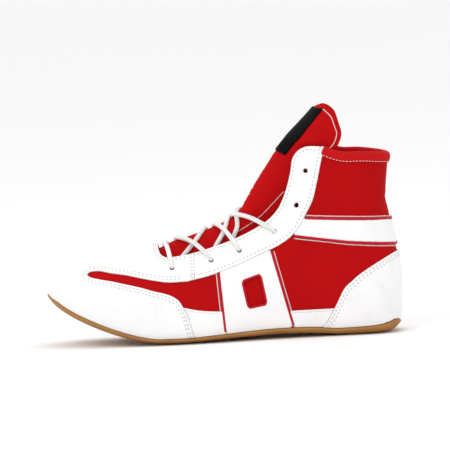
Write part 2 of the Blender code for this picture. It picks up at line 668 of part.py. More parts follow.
def make_binding(parts, cutters, material):
    """A channel folded over the collar's edge, on both faces of the upper."""
    outer = FIT_GAP + BINDING_THICKNESS
    binding = form_shell("collar_binding", outer, UPPER_WALL + 2 * outer, -1, parts, material)
    cut(binding, prism("binding_strip", binding_outline(outer), -REACH, REACH, cutters), "INTERSECT")
    core = form_shell("binding_core", FIT_GAP, UPPER_WALL + 2 * FIT_GAP, -1, cutters, None)
    cut(core, prism("binding_core_strip", binding_core_outline(), -REACH, REACH, cutters), "INTERSECT")
    cut(binding, hide_cutter(core))
    return binding


def binding_core_outline():
    """The channel's inside: the strip, longer below and at the front, up to the edge."""
    corners = binding_outline(FIT_GAP)
    lower = len(BINDING_LOWER)
    sunk = [(x, z - REACH) for x, z in corners[:lower]]
    ahead = corners[-1][0] - REACH
    return [(ahead, sunk[0][1])] + sunk + corners[lower:] + [(ahead, corners[-1][1])]


# Eyelets and laces
def eyelet_axis(mark, side):
    """A point on the form at an eyelet, and the direction out of the surface."""
    turn = turn_at(mark.section, mark.height, side)
    foot, head = (form_points([mark.section], [turn], value)[0, 0] for value in (-0.01, 0.01))
    return (foot + head) / 2, (head - foot) / np.linalg.norm(head - foot)


def make_eyelet_cutter(cutters):
    """One mesh of short pins, a pin through each eyelet on both sides."""
    shape = bmesh.new()
    for mark in EYELETS:
        for side in (-1, 1):
            centre, axis = eyelet_axis(mark, side)
            place = Matrix.Translation(centre) @ Vector(axis).to_track_quat("Z", "Y").to_matrix().to_4x4()
            bmesh.ops.create_cone(shape, cap_ends=True, segments=EYELET_SIDES, radius1=EYELET_DIAMETER / 2,
                                  radius2=EYELET_DIAMETER / 2, depth=6 * UPPER_WALL, matrix=place)
    mesh = bpy.data.meshes.new("eyelet_pins")
    shape.to_mesh(mesh)
    shape.free()
    return hide_cutter(add_object("eyelet_pins", mesh, cutters))


def smooth_path(points, steps=2):
    """Points along a curve through the route's own points."""
    curves = [hermite([point[axis] for point in points]) for axis in range(3)]
    places = np.linspace(0, len(points) - 1, (len(points) - 1) * steps + 1)
    return np.stack([curve(places) for curve in curves], axis=1)


def tube(name, points, collection, material):
    """A round tube with closed ends, made a mesh so that it can be joined."""
    route = bpy.data.curves.new(name, "CURVE")
    route.dimensions = "3D"
    route.bevel_depth = LACE_DIAMETER / 2
    route.bevel_resolution = 2
    route.use_fill_caps = True
    spline = route.splines.new("POLY")
    spline.points.add(len(points) - 1)
    for knot, point in zip(spline.points, points):
        knot.co = (*point, 1.0)
    rail = bpy.data.objects.new(name + "_rail", route)
    collection.objects.link(rail)
    solid = bpy.data.meshes.new_from_object(rail.evaluated_get(bpy.context.evaluated_depsgraph_get()))
    shape = bmesh.new()
    shape.from_mesh(solid)
    bmesh.ops.remove_doubles(shape, verts=shape.verts, dist=0.00001)
    shape.to_mesh(solid)
    shape.free()
    solid.materials.clear()
    item = add_object(name, solid, collection, material)
    item.matrix_world = rail.matrix_world
    bpy.data.objects.remove(rail, do_unlink=True)
    return item


def lace_stop(mark, side, offset, shift=0.0):
    """A point over an eyelet, or nearer the throat by a share of the way to its edge."""
    turn = turn_at(mark.section, mark.height, side)
    edge = 0.5 + side * throat_turn(mark.section)
    return form_points([mark.section], [turn + (edge - turn) * shift], offset)[0, 0]


def lace_ridge(section):
    """A point on the tongue's ridge with the lace lying on it."""
    return tongue_points([section], [0.5], LACE_SEAT)[0, 0]


def lace_run(start, end, start_side):
    """From under one eyestay's edge, over the tongue, to the far eyelet above."""
    middle = (start.section + end.section) / 2
    climb = []
    for share in (LACE_TUCK, LACE_TUCK * 2 / 3, LACE_TUCK / 3):
        section = middle + LACE_SLANT * (start.section - middle) * share / LACE_TUCK
        turn = 0.5 + start_side * throat_turn(section) * share
        climb.append(tongue_points([section], [turn], LACE_SEAT)[0, 0])
    seat = FACE + LACE_SEAT
    crest = float(tongue_offset(middle, [0.5])[0]) + LACE_SEAT
    bridge = []
    for share in (0.0, 1 / 3, 2 / 3, 1.0):
        section = middle + (end.section - middle) * share
        turn = 0.5 - start_side * throat_turn(section) * share
        bridge.append(form_points([section], [turn], crest + (seat - crest) * share)[0, 0])
    return climb + bridge + [lace_stop(end, -start_side, seat)]


def make_lace_bar(parts, material):
    mark = EYELETS[0]
    stops = [lace_stop(mark, -1, FACE + LACE_SEAT, shift) for shift in (0.0, 1.0)]
    mirror = [lace_stop(mark, 1, FACE + LACE_SEAT, shift) for shift in (1.0, 0.0)]
    return tube("lace_bar", smooth_path(stops + [lace_ridge(mark.section)] + mirror), parts, material)


def make_lace_crosses(parts, cutters, material):
    for number in range(1, LACED_EYELETS):
        start, end = EYELETS[number - 1], EYELETS[number]
        name = f"lace_cross_{number}"
        cross = tube(name, smooth_path(lace_run(start, end, -1)), parts, material)
        other = tube(name + "_mate", smooth_path(lace_run(start, end, 1)), cutters, None)
        cut(cross, hide_cutter(other), "UNION")


def make_knives(cutters):
    """The blocks that cut the pieces out of the form."""
    wide = (-REACH, REACH)
    lasting = [(float(BASE_X(s)), float(SWING(s) - LASTING_SHARE * LATERAL(s))) for s in range(5, 16)]
    lasting += [(float(BASE_X(s)), float(SWING(s) + LASTING_SHARE * MEDIAL(s))) for s in range(15, 4, -1)]
    front = -FORM_LENGTH - REACH
    ground = [(front, -REACH), (REACH, -REACH), (REACH, 0.0), (front, 0.0)]
    window = prism("saddle_window", outline(SADDLE_WINDOW), *wide, cutters)
    knives = {
        "open_top": prism("open_top", open_top_outline(), *wide, cutters),
        "sole": prism("sole_region", sole_outline(), *wide, cutters),
        "lasting": prism("lasting_opening", lasting, -REACH, TOE_SPRING * 0.6, cutters, axis="Z"),
        "ground": prism("ground", ground, *wide, cutters),
        "vamp": prism("vamp_region", vamp_outline(), *wide, cutters),
        "heel_counter": prism("counter_region", counter_outline(), *wide, cutters),
        "ankle_band": prism("band_region", band_outline(), *wide, cutters),
        "eyelets": make_eyelet_cutter(cutters),
    }
    paired = {
        "eyestay": eyestay_outline(),
        "saddle": saddle_outline(),
        "foxing_front": foxing_front_outline(),
        "foxing_rear": foxing_rear_outline(),
    }
    for word, low, high in (("lateral", -REACH, 0.0), ("medial", 0.0, REACH)):
        for place, corners in paired.items():
            name = f"{place}_{word}"
            knives[name] = prism(name + "_region", corners, low, high, cutters)
        cut(knives["saddle_" + word], window)
    return knives


def make_overlays(parts, knives, leather):
    """Every leather piece on the upper; the eyelets go through the ones they meet."""
    for name in ("vamp", "eyestay_lateral", "eyestay_medial"):
        piece = overlay(name, knives[name], parts, leather(name))
        cut(piece, knives["eyelets"])
    plain = ["heel_counter", "ankle_band"]
    plain += [f"{place}_{word}" for place in ("saddle", "foxing_front", "foxing_rear")
              for word in ("lateral", "medial")]
    for name in plain:
        overlay(name, knives[name], parts, leather(name))


def build():
    clear_scene()
    parts = new_collection("wrestling_shoe")
    cutters = new_collection("cutters")
    white = (0.90, 0.90, 0.89)
    red = (0.56, 0.012, 0.016)
    leather = lambda name: finish(name, white, 0.42)
    knives = make_knives(cutters)
    make_upper(parts, knives, finish("upper", red, 0.85))
    make_outsole(parts, knives, finish("outsole", (0.42, 0.21, 0.06), 0.6))
    make_insole(parts, cutters, finish("insole", (0.35, 0.02, 0.02), 0.9))
    make_tongue(parts, cutters, finish("tongue", red, 0.85))
    make_label(parts, cutters, finish("tongue_label", (0.01, 0.01, 0.012), 0.6))
    make_overlays(parts, knives, leather)
    make_binding(parts, cutters, finish("collar_binding", red, 0.8))
    make_lace_bar(parts, finish("lace_bar", white, 0.8))
    make_lace_crosses(parts, cutters, finish("lace_cross", white, 0.8))


build()
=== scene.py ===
"""Looks of the wrestling shoe: a red textile upper, white leather overlays and a gum sole.

Every layer lies on one form, the same one as the CAD's. A place on the form is a section,
from 0 at the toe's tip to 26 at the tongue's top, and a turn, the share of the way round
that section: 0 at the base, 0.25 lateral, 0.5 top, 0.75 medial. The form is worked out
once as a table of points, and read between its rows and columns.
"""

import math
from collections import namedtuple

import bpy
import numpy as np
from mathutils import Matrix, Vector
from mathutils.geometry import delaunay_2d_cdt


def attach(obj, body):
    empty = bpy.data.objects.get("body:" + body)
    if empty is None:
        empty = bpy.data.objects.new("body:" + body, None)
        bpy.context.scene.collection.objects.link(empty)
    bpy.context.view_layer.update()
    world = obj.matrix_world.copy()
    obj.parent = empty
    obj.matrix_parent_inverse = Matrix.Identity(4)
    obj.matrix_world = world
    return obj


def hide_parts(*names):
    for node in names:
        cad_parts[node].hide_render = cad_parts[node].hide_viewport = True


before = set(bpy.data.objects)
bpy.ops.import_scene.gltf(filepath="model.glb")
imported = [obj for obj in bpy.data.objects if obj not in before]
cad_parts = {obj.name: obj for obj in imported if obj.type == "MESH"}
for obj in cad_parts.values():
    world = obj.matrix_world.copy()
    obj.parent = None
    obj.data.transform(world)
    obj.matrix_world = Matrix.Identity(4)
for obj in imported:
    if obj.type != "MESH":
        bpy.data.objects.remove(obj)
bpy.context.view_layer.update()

# Sizes, in metres
FORM_LENGTH = 0.2771
BALL_WIDTH = 0.094
HEEL_WIDTH = 0.064
COLLAR_WIDTH = 0.060
INSTEP_HEIGHT = 0.0903
COLLAR_HEIGHT = 0.138
HEEL_HEIGHT = 0.0353
TOE_SPRING = 0.0488
ARCH_LIFT = 0.003
SOLE_THICKNESS = 0.0024
UPPER_WALL = 0.0020
LEATHER = 0.0012
TONGUE_WALL = 0.0024
INSOLE = 0.0030
LACE_RADIUS = 0.0018
EYELET_RADIUS = 0.0018
GAP = 0.0003
FLOOR = SOLE_THICKNESS + GAP
FACE = GAP + LEATHER
HEEL_CENTRE = 0.1505

# Side view and breadth of the sections, in shares of the sizes above. The toe's and the heel's
# rows are fitted to the photograph's raised view, so they differ a little from the CAD's.
Side = namedtuple("Side", "base_back spring arch heel shaft top_back instep shin")
SIDES = [Side(*row) for row in (
    (1.000, 0.957, 0, 0, 0, 1.000, 0, 0),
    (0.996, 0.801, 0, 0, 0, 0.994, 0.148, 0),
    (0.979, 0.650, 0, 0, 0, 0.973, 0.290, 0),
    (0.943, 0.494, 0, 0, 0, 0.935, 0.411, 0),
    (0.890, 0.334, 0, 0, 0, 0.879, 0.520, 0),
    (0.822, 0.176, 0, 0, 0, 0.811, 0.638, 0),
    (0.753, 0.060, 0, 0, 0, 0.744, 0.741, 0),
    (0.681, 0, 0, 0, 0, 0.677, 0.814, 0),
    (0.612, 0, 0, 0, 0, 0.605, 0.856, 0),
    (0.526, 0, 0.33, 0, 0, 0.529, 0.928, 0),
    (0.439, 0, 0.70, 0, 0, 0.468, 1.000, 0),
    (0.349, 0, 0.97, 0, 0, 0.423, 1.000, 0.178),
    (0.259, 0, 0.80, 0, 0, 0.394, 1.000, 0.346),
    (0.179, 0, 0, 0, 0, 0.378, 1.000, 0.482),
    (0.104, 0, 0, 0, 0, 0.367, 1.000, 0.587),
    (0.049, 0, 0, 0.008, 0, 0.360, 1.000, 0.660),
    (0.017, 0, 0, 0.135, 0, 0.354, 1.000, 0.723),
    (0.003, 0, 0, 0.510, 0, 0.349, 1.000, 0.786),
    (0, 0, 0, 1.000, 0, 0.344, 1.000, 0.849),
    (0.005, 0, 0, 1.000, 0.166, 0.338, 1.000, 0.922),
    (0.014, 0, 0, 1.000, 0.351, 0.331, 1.000, 1.006),
    (0.028, 0, 0, 1.000, 0.555, 0.324, 1.000, 1.090),
    (0.034, 0, 0, 1.000, 0.701, 0.317, 1.000, 1.174),
    (0.024, 0, 0, 1.000, 0.896, 0.310, 1.000, 1.258),
    (0.015, 0, 0, 1.000, 1.110, 0.295, 1.000, 1.363),
    (0.010, 0, 0, 1.000, 1.266, 0.259, 1.000, 1.572),
    (0.006, 0, 0, 1.000, 1.422, 0.215, 1.000, 1.845),
)]
Breadth = namedtuple("Breadth", "girth lateral medial swing widest low high")
BREADTHS = [Breadth(*row) for row in (
    (BALL_WIDTH, 0, 0, 0.074, 0.50, 2.2, 2.20),
    (BALL_WIDTH, 0.096, 0.096, 0.074, 0.48, 2.4, 2.20),
    (BALL_WIDTH, 0.197, 0.186, 0.072, 0.44, 2.9, 2.20),
    (BALL_WIDTH, 0.298, 0.277, 0.069, 0.40, 3.8, 2.20),
    (BALL_WIDTH, 0.383, 0.351, 0.064, 0.36, 4.8, 2.15),
    (BALL_WIDTH, 0.452, 0.410, 0.053, 0.33, 5.6, 2.10),
    (BALL_WIDTH, 0.489, 0.447, 0.043, 0.31, 6.2, 2.00),
    (BALL_WIDTH, 0.511, 0.473, 0.027, 0.30, 6.5, 1.90),
    (BALL_WIDTH, 0.505, 0.479, 0.011, 0.30, 6.5, 1.80),
    (BALL_WIDTH, 0.463, 0.436, 0.000, 0.30, 6.2, 1.70),
    (BALL_WIDTH, 0.410, 0.372, 0.000, 0.30, 6.0, 1.65),
    (HEEL_WIDTH, 0.539, 0.492, 0.000, 0.31, 6.0, 1.65),
    (HEEL_WIDTH, 0.508, 0.492, 0.000, 0.33, 6.2, 1.70),
    (HEEL_WIDTH, 0.500, 0.500, 0.000, 0.35, 6.4, 1.75),
    (HEEL_WIDTH, 0.508, 0.508, 0.000, 0.37, 6.0, 1.80),
    (HEEL_WIDTH, 0.508, 0.508, 0.000, 0.39, 4.6, 1.85),
    (HEEL_WIDTH, 0.505, 0.505, 0.000, 0.41, 3.3, 1.90),
    (HEEL_WIDTH, 0.500, 0.500, 0.000, 0.43, 2.7, 1.90),
    (HEEL_WIDTH, 0.492, 0.492, 0.000, 0.45, 2.4, 1.95),
    (COLLAR_WIDTH, 0.517, 0.517, 0.000, 0.46, 2.2, 2.00),
    (COLLAR_WIDTH, 0.508, 0.508, 0.000, 0.47, 2.1, 2.00),
    (COLLAR_WIDTH, 0.500, 0.500, 0.000, 0.48, 2.1, 2.00),
    (COLLAR_WIDTH, 0.500, 0.500, 0.000, 0.49, 2.1, 2.00),
    (COLLAR_WIDTH, 0.500, 0.500, 0.000, 0.50, 2.1, 2.00),
    (COLLAR_WIDTH, 0.508, 0.508, 0.000, 0.50, 2.1, 2.00),
    (COLLAR_WIDTH, 0.508, 0.508, 0.000, 0.50, 2.1, 2.00),
    (COLLAR_WIDTH, 0.508, 0.508, 0.000, 0.50, 2.1, 2.00),
)]
LAST = len(SIDES) - 1

# Edges of the pieces: each mark is a section and a height in it, 0 at its base and 1 at its top
THROAT = [(6.89, 1.000), (7.03, 0.915), (7.22, 0.880), (7.50, 0.870), (8.12, 0.861), (8.94, 0.853),
          (9.83, 0.853), (11.18, 0.841), (12.30, 0.840), (13.40, 0.856), (14.80, 0.881), (16.10, 0.893),
          (19.03, 0.894), (21.26, 0.895), (22.37, 0.869), (22.84, 0.837), (23.37, 0.642)]
COLLAR = [(23.24, 0.544), (23.22, 0.459), (23.37, 0.282), (23.46, 0.000)]
SOLE = [(1.05, 0.000), (1.12, 0.006), (1.28, 0.016), (1.60, 0.026), (2.30, 0.033), (3.24, 0.037),
        (3.97, 0.036), (4.75, 0.030), (5.52, 0.022), (6.20, 0.014), (7.00, 0.012), (8.30, 0.013),
        (9.24, 0.014), (10.09, 0.017), (11.13, 0.016), (12.30, 0.018), (13.59, 0.020), (14.48, 0.024),
        (15.30, 0.032), (16.00, 0.020), (16.30, 0.000)]
VAMP_REAR = [(8.24, 0.030), (8.12, 0.177), (8.02, 0.271), (7.87, 0.349), (7.69, 0.428), (7.41, 0.483),
             (7.10, 0.520), (6.72, 0.554), (6.13, 0.608), (5.54, 0.655), (4.94, 0.702), (4.36, 0.743)]
SLIT_NOSE = [(4.36, 0.743), (3.99, 0.785), (3.90, 0.815), (3.96, 0.842), (4.28, 0.862)]
VAMP_LOWER = [(4.28, 0.862), (4.93, 0.810), (5.54, 0.766), (6.14, 0.713), (6.73, 0.667), (7.31, 0.627),
              (7.77, 0.615), (8.14, 0.608)]
EYESTAY_LOWER = [(8.17, 0.608), (8.81, 0.606), (9.28, 0.612), (10.14, 0.632), (11.11, 0.640),
                 (12.23, 0.652), (13.38, 0.679), (14.57, 0.713), (16.23, 0.734), (18.13, 0.708),
                 (20.14, 0.676), (22.12, 0.640), (23.19, 0.637)]
COUNTER_FRONT = [(12.36, 0.024), (12.61, 0.060), (13.03, 0.133), (13.27, 0.168), (13.75, 0.233),
                 (14.45, 0.295), (15.29, 0.323), (16.19, 0.320), (17.43, 0.245), (18.63, 0.122),
                 (19.45, 0.000)]
FOXING_TOP = [(7.87, 0.349), (8.45, 0.295), (9.08, 0.253)]
SADDLE = [(9.20, 0.609), (11.55, 0.645), (11.43, 0.016), (9.29, 0.014)]
WINDOW = [(10.03, 0.480), (10.80, 0.490), (10.78, 0.240), (10.12, 0.235)]
BAND_LOWER = [(13.45, 0.672), (17.54, 0.433), (19.80, 0.000)]
BAND_UPPER = [(15.66, 0.722), (19.01, 0.437), (20.68, 0.000)]
TONGUE_SIDE = [(25.87, 1.000), (25.94, 0.925), (25.45, 0.694), (24.85, 0.580), (24.26, 0.503),
               (23.55, 0.505), (21.46, 0.700), (18.58, 0.770), (15.20, 0.775), (13.03, 0.745), (11.58, 0.700),
               (10.33, 0.690), (9.23, 0.680), (8.07, 0.690), (6.91, 0.740), (6.10, 0.800)]
LABEL_SIDE = [(20.85, 0.955), (25.70, 0.865)]
TONGUE_SEAM = [(15.70, 0.895), (13.56, 0.895), (11.38, 0.885), (10.05, 0.880)]
EYELETS = [(7.46, 0.763), (8.91, 0.741), (10.10, 0.741), (12.18, 0.748), (15.93, 0.803), (20.54, 0.775)]
LACED = 4
# The tongue's offset from the form: its ridge stands proud, its flanks pass under the eyestays
EASE = [(6.0, -0.0031, -0.0031), (6.9, -0.0031, -0.0034), (7.5, 0.0, -0.0064), (8.4, 0.0008, -0.0066),
        (9.4, 0.0010, -0.0066), (10.3, 0.0018, -0.0066), (11.3, 0.0062, -0.0066), (12.2, 0.0078, -0.0064),
        (13.0, 0.0080, -0.0060), (16.0, 0.0070, -0.0045), (20.0, 0.0045, -0.0040),
        (23.0, 0.0010, -0.0040), (26.0, 0.0, -0.0030)]


# Small sums on rows of points
SIGNS = (-1, 1)  # lateral and medial
TINY = 1e-12


def unit(vectors):
    """Vectors brought to a length of one."""
    return vectors / np.linalg.norm(vectors, axis=-1, keepdims=True).clip(TINY)


def run_of(points):
    """How far along a path each of its points lies."""
    return np.concatenate([[0], np.cumsum(np.linalg.norm(np.diff(points, axis=0), axis=1))])


def rows_at(ways, run, rows):
    """Rows of numbers read at ways along their run, in straight lines between them."""
    return np.stack([np.interp(ways, run, column) for column in rows.T], axis=1)


# The form
def hermite(values):
    """A curve through evenly numbered values that never overshoots them."""
    values = np.asarray(values, float)
    steps = np.diff(values)
    slopes = np.zeros_like(values)
    slopes[0], slopes[-1] = steps[0], steps[-1]
    same = steps[:-1] * steps[1:] > 0
    safe = np.where(same, steps[:-1] + steps[1:], 1.0)
    slopes[1:-1] = np.where(same, 2 * steps[:-1] * steps[1:] / safe, 0.0)

    def curve(place):
        place = np.clip(np.asarray(place, float), 0, len(values) - 1)
        k = np.minimum(place.astype(int), len(values) - 2)
        s = place - k
        rise = s * s * (3 - 2 * s)
        return (values[k] + (values[k + 1] - values[k]) * rise
                + slopes[k] * s * (1 - s) ** 2 - slopes[k + 1] * s * s * (1 - s))

    return curve


def along(back):
    """The X at a share of the form's length in front of the heel."""
    return (HEEL_CENTRE - back) * FORM_LENGTH


SHAFT_RISE = COLLAR_HEIGHT - HEEL_HEIGHT
SHIN_RISE = COLLAR_HEIGHT - INSTEP_HEIGHT
BASE_X = hermite([along(row.base_back) for row in SIDES])
BASE_Z = hermite([FLOOR + row.spring * TOE_SPRING + row.arch * ARCH_LIFT
                  + row.heel * HEEL_HEIGHT + row.shaft * SHAFT_RISE for row in SIDES])
TOP_X = hermite([along(row.top_back) for row in SIDES])
TOP_Z = hermite([FLOOR + row.spring * TOE_SPRING + row.instep * INSTEP_HEIGHT
                 + row.shin * SHIN_RISE for row in SIDES])
LATERAL = hermite([row.girth * row.lateral for row in BREADTHS])
MEDIAL = hermite([row.girth * row.medial for row in BREADTHS])
SWING = hermite([BALL_WIDTH * row.swing for row in BREADTHS])
WIDEST, LOW, HIGH = (hermite(column) for column in list(zip(*BREADTHS))[-3:])


def side_view(section, height):
    """The X and Z of a height in a section: a straight line from its base to its top."""
    x = BASE_X(section) + (TOP_X(section) - BASE_X(section)) * height
    z = BASE_Z(section) + (TOP_Z(section) - BASE_Z(section)) * height
    return np.stack([x, z], axis=-1)


SECTION_STEP = 0.1
SECTIONS = np.arange(0, LAST + SECTION_STEP / 2, SECTION_STEP)
COLUMNS = 720
TURNS = np.arange(COLUMNS) / COLUMNS


def section_rows(section):
    """One section's points at every turn, and the height at every turn, spaced by length.

    Across, a section is a superellipse on each side: its breadth grows from the base to the
    widest height by one power, and falls to the top by another.
    """
    angle = np.linspace(0, math.pi / 2, 240)
    widest, low, high = WIDEST(section), LOW(section), HIGH(section)
    share = np.concatenate([np.sin(angle) ** (2 / low), np.sin(angle[-2::-1]) ** (2 / high)])
    upper = widest + (1 - widest) * (1 - share[len(angle):] ** high).clip(0) ** (1 / high)
    height = np.concatenate([widest * (1 - np.cos(angle) ** (2 / low)), upper])
    x, z = side_view(section, height).T
    points = np.zeros((COLUMNS, 3))
    heights = np.zeros(COLUMNS)
    ways = 2 * np.minimum(TURNS, 1 - TURNS)
    for sign, breadth, beside in ((-1, LATERAL, TURNS <= 0.5), (1, MEDIAL, TURNS > 0.5)):
        line = np.stack([x, SWING(section) + sign * breadth(section) * share, z], axis=1)
        run = run_of(line)
        run = run / max(run[-1], 1e-9)
        points[beside] = rows_at(ways[beside], run, line)
        heights[beside] = np.interp(ways[beside], run, height)
    return points, heights


HEEL_CORNER = 16.0  # the section at which the base turns up into the heel


def smoothed(table, reach, width):
    """A table averaged along its sections with a bell of that width, except at its ends and
    the heel's corner."""
    steps = np.arange(-reach, reach + 1)
    bell = np.exp(-(steps / width) ** 2)
    padded = np.concatenate([np.repeat(table[:1], reach, 0), table, np.repeat(table[-1:], reach, 0)])
    soft = sum(weight * padded[reach + step:reach + step + len(table)]
               for step, weight in zip(steps, bell / bell.sum()))
    share = np.clip((SECTIONS - 1.0) / 3, 0, 1) * np.clip((LAST - SECTIONS) / 1.5, 0, 1)
    share = share * np.clip(np.abs(SECTIONS - HEEL_CORNER) / 2 - 0.25, 0, 1)
    return table + (soft - table) * share[:, None, None]


ROWS = [section_rows(section) for section in SECTIONS]
HEIGHTS = np.array([row[1] for row in ROWS])
FORM = smoothed(np.array([row[0] for row in ROWS]), reach=14, width=6.0)
AHEAD = np.gradient(FORM, axis=0)
AROUND = (np.roll(FORM, -1, axis=1) - np.roll(FORM, 1, axis=1)) / 2
NORMALS = unit(np.cross(AHEAD, AROUND))
NORMALS[0] = (-1.0, 0.0, 0.0)
RUN_ALONG = np.cumsum(np.linalg.norm(AHEAD, axis=2), axis=0)[..., None]
RUN_ROUND = np.cumsum(np.linalg.norm(AROUND, axis=2), axis=1)
RUN_ROUND = (RUN_ROUND - RUN_ROUND[:, COLUMNS // 2][:, None])[..., None]


def read(table, section, turn, wraps=True):
    """A table read smoothly between its rows and columns, by cubics both ways."""
    row = np.clip(np.asarray(section, float) / SECTION_STEP, 0, len(table) - 1.001)
    column = (np.asarray(turn, float) % 1.0) * COLUMNS
    i, j = row.astype(int), column.astype(int)
    total = 0
    for p, across in enumerate(cubic(row - i)):
        for q, down in enumerate(cubic(column - j)):
            rows = np.clip(i + p - 1, 0, len(table) - 1)
            columns = (j + q - 1) % COLUMNS if wraps else np.clip(j + q - 1, 0, COLUMNS - 1)
            total = total + table[rows, columns] * (across * down)[..., None]
    return total


def cubic(a):
    """The four weights of a Catmull-Rom cubic at a share between its middle two values."""
    return ((-a ** 3 + 2 * a ** 2 - a) / 2, (3 * a ** 3 - 5 * a ** 2 + 2) / 2,
            (-3 * a ** 3 + 4 * a ** 2 + a) / 2, (a ** 3 - a ** 2) / 2)


def form_at(places):
    """Points of the form at places of section and turn."""
    return read(FORM, places[..., 0], places[..., 1])


def to_turns(marks, side):
    """Rows of section and height as rows of section and turn, on the lateral side for -1 and
    the medial for +1: each height is looked up, straight between columns, along its section."""
    marks = np.asarray(marks, float)
    row = np.clip(marks[:, 0] / SECTION_STEP, 0, len(SECTIONS) - 1.001)
    i = row.astype(int)
    half = COLUMNS // 2
    table = HEIGHTS[i] + (HEIGHTS[i + 1] - HEIGHTS[i]) * (row - i)[:, None]
    if side < 0:
        rise = table[:, :half + 1]
    else:
        rise = np.insert(table[:, :half - 1:-1], 0, 0.0, axis=1)
    after = np.clip((rise < marks[:, 1:]).sum(1), 1, half)
    low, high = (np.take_along_axis(rise, column[:, None], 1)[:, 0] for column in (after - 1, after))
    share = ((marks[:, 1] - low) / (high - low).clip(TINY)).clip(0, 1)
    turns = (after - 1 + share) / COLUMNS
    return np.stack([marks[:, 0], turns if side < 0 else 1 - turns], axis=1)


def turn_at(section, height, side):
    """The turn at which one section reaches a height."""
    return float(to_turns([(section, height)], side)[0, 1])


# Creases and hollows on both sides, each a line of marks with its width and depth in metres
Crease = namedtuple("Crease", "marks width depth")
CREASES = [
    # Folds where the forefoot bends, over the vamp's top and down its sides
    Crease([(6.35, 1.000), (6.42, 0.900), (6.60, 0.800), (6.85, 0.720)], 0.0030, -0.00055),
    Crease([(7.20, 0.060), (7.10, 0.180), (6.90, 0.300), (6.60, 0.400)], 0.0040, -0.00070),
    Crease([(5.90, 0.080), (5.80, 0.220), (5.60, 0.340)], 0.0050, -0.00050),
    # Soft hollows below the ankle and above the counter
    Crease([(13.20, 0.480), (15.00, 0.480), (17.20, 0.360)], 0.0090, -0.00110),
    # Slack folds of the shaft behind the ankle
    Crease([(21.60, 0.000), (21.45, 0.200), (21.30, 0.420)], 0.0035, -0.00070),
    Crease([(20.75, 0.100), (20.55, 0.300), (20.40, 0.480)], 0.0045, -0.00060),
]


def crease_line(crease, side):
    """Points along a crease, straight from mark to mark in section and height."""
    marks = np.array(crease.marks, float)
    places = np.linspace(0, len(marks) - 1, 24 * (len(marks) - 1))
    return form_at(to_turns(rows_at(places, np.arange(len(marks)), marks), side))


def nearest(points, line, chunk=1500):
    """The distance from each point to the nearest point of a line."""
    flat = points.reshape(-1, 3)
    found = np.empty(len(flat))
    size = (line ** 2).sum(1)
    for start in range(0, len(flat), chunk):
        part = flat[start:start + chunk]
        square = (part ** 2).sum(1)[:, None] + size - 2 * part @ line.T
        found[start:start + chunk] = np.sqrt(np.maximum(square.min(1), 0))
    return found.reshape(points.shape[:-1])


def relief(points):
    """How far the creases move the skin in or out: a bell across each crease's line."""
    lift = np.zeros(points.shape[:-1])
    for crease, line in CREASE_LINES:
        lift += crease.depth * np.exp(-(nearest(points, line) / crease.width) ** 2)
    return lift


CREASE_LINES = [(crease, crease_line(crease, side)) for crease in CREASES for side in SIGNS]


def skin(places, offset=0.0):
    """Points on the form at places of section and turn, moved out along its normal."""
    places = np.asarray(places, float)
    points = form_at(places)
    normals = read(NORMALS, places[..., 0], places[..., 1])
    lift = np.asarray(offset) + relief(points)
    return points + normals * np.broadcast_to(lift, points.shape[:-1])[..., None]


def normal_at(places):
    """The form's outward normals at places, one long."""
    return unit(read(NORMALS, places[..., 0], places[..., 1]))


# Lines on the form
STEP = 0.0012


def even(places, step=STEP):
    """The same line with its points spread evenly by length, ends kept."""
    run = run_of(form_at(places))
    count = max(2, int(round(run[-1] / step)) + 1)
    return rows_at(np.linspace(0, run[-1], count), run, places)


def flow(points, per_span):
    """A smooth curve through points of any size, slopes weighed by the spacing."""
    points = np.asarray(points, float)
    gaps = np.linalg.norm(np.diff(points, axis=0), axis=1).clip(1e-9)[:, None]
    steep = np.diff(points, axis=0) / gaps
    slopes = np.concatenate([steep[:1], (steep[:-1] * gaps[1:] + steep[1:] * gaps[:-1])
                             / (gaps[1:] + gaps[:-1]), steep[-1:]])
    places = np.linspace(0, len(points) - 1, per_span * (len(points) - 1) + 1)
    k = np.minimum(places.astype(int), len(points) - 2)
    s = (places - k)[:, None]
    return (points[k] * (1 + 2 * s) * (1 - s) ** 2 + points[k + 1] * s * s * (3 - 2 * s)
            + slopes[k] * gaps[k] * s * (1 - s) ** 2 - slopes[k + 1] * gaps[k] * s * s * (1 - s))


MIDDLE_TURNS = 0.04  # how near the middle line an edge starts to keep its own place
NUDGE = (0.02, 0.002)  # the trial steps in section and turn


def settled(line, wanted, offset):
    """Places moved on the form until, at an offset, they stand at the wanted X and Z.

    Newton's steps in section and turn. Next to the middle line, where the form is seen
    edge on, a place stays where it is.
    """
    found = line.copy()
    for _ in range(6):
        lift = offset(found) if callable(offset) else offset
        here = skin(found, lift)[:, ::2]
        ahead, beside = ((skin(found + step, lift)[:, ::2] - here) / sum(step) for step in np.diag(NUDGE))
        miss = wanted - here
        scale = ahead[:, 0] * beside[:, 1] - ahead[:, 1] * beside[:, 0]
        scale = scale / (scale ** 2 + 4e-8)
        sections = (miss[:, 0] * beside[:, 1] - miss[:, 1] * beside[:, 0]) * scale
        turns = (ahead[:, 0] * miss[:, 1] - ahead[:, 1] * miss[:, 0]) * scale
        found += np.stack([sections.clip(-0.15, 0.15), turns.clip(-0.01, 0.01)], axis=1)
    part = line[:, 1] % 0.5
    share = (np.minimum(part, 0.5 - part) / MIDDLE_TURNS).clip(0, 1)[:, None]
    return line + (found - line) * share


SPAN = 20  # the points of an edge from one mark to the next


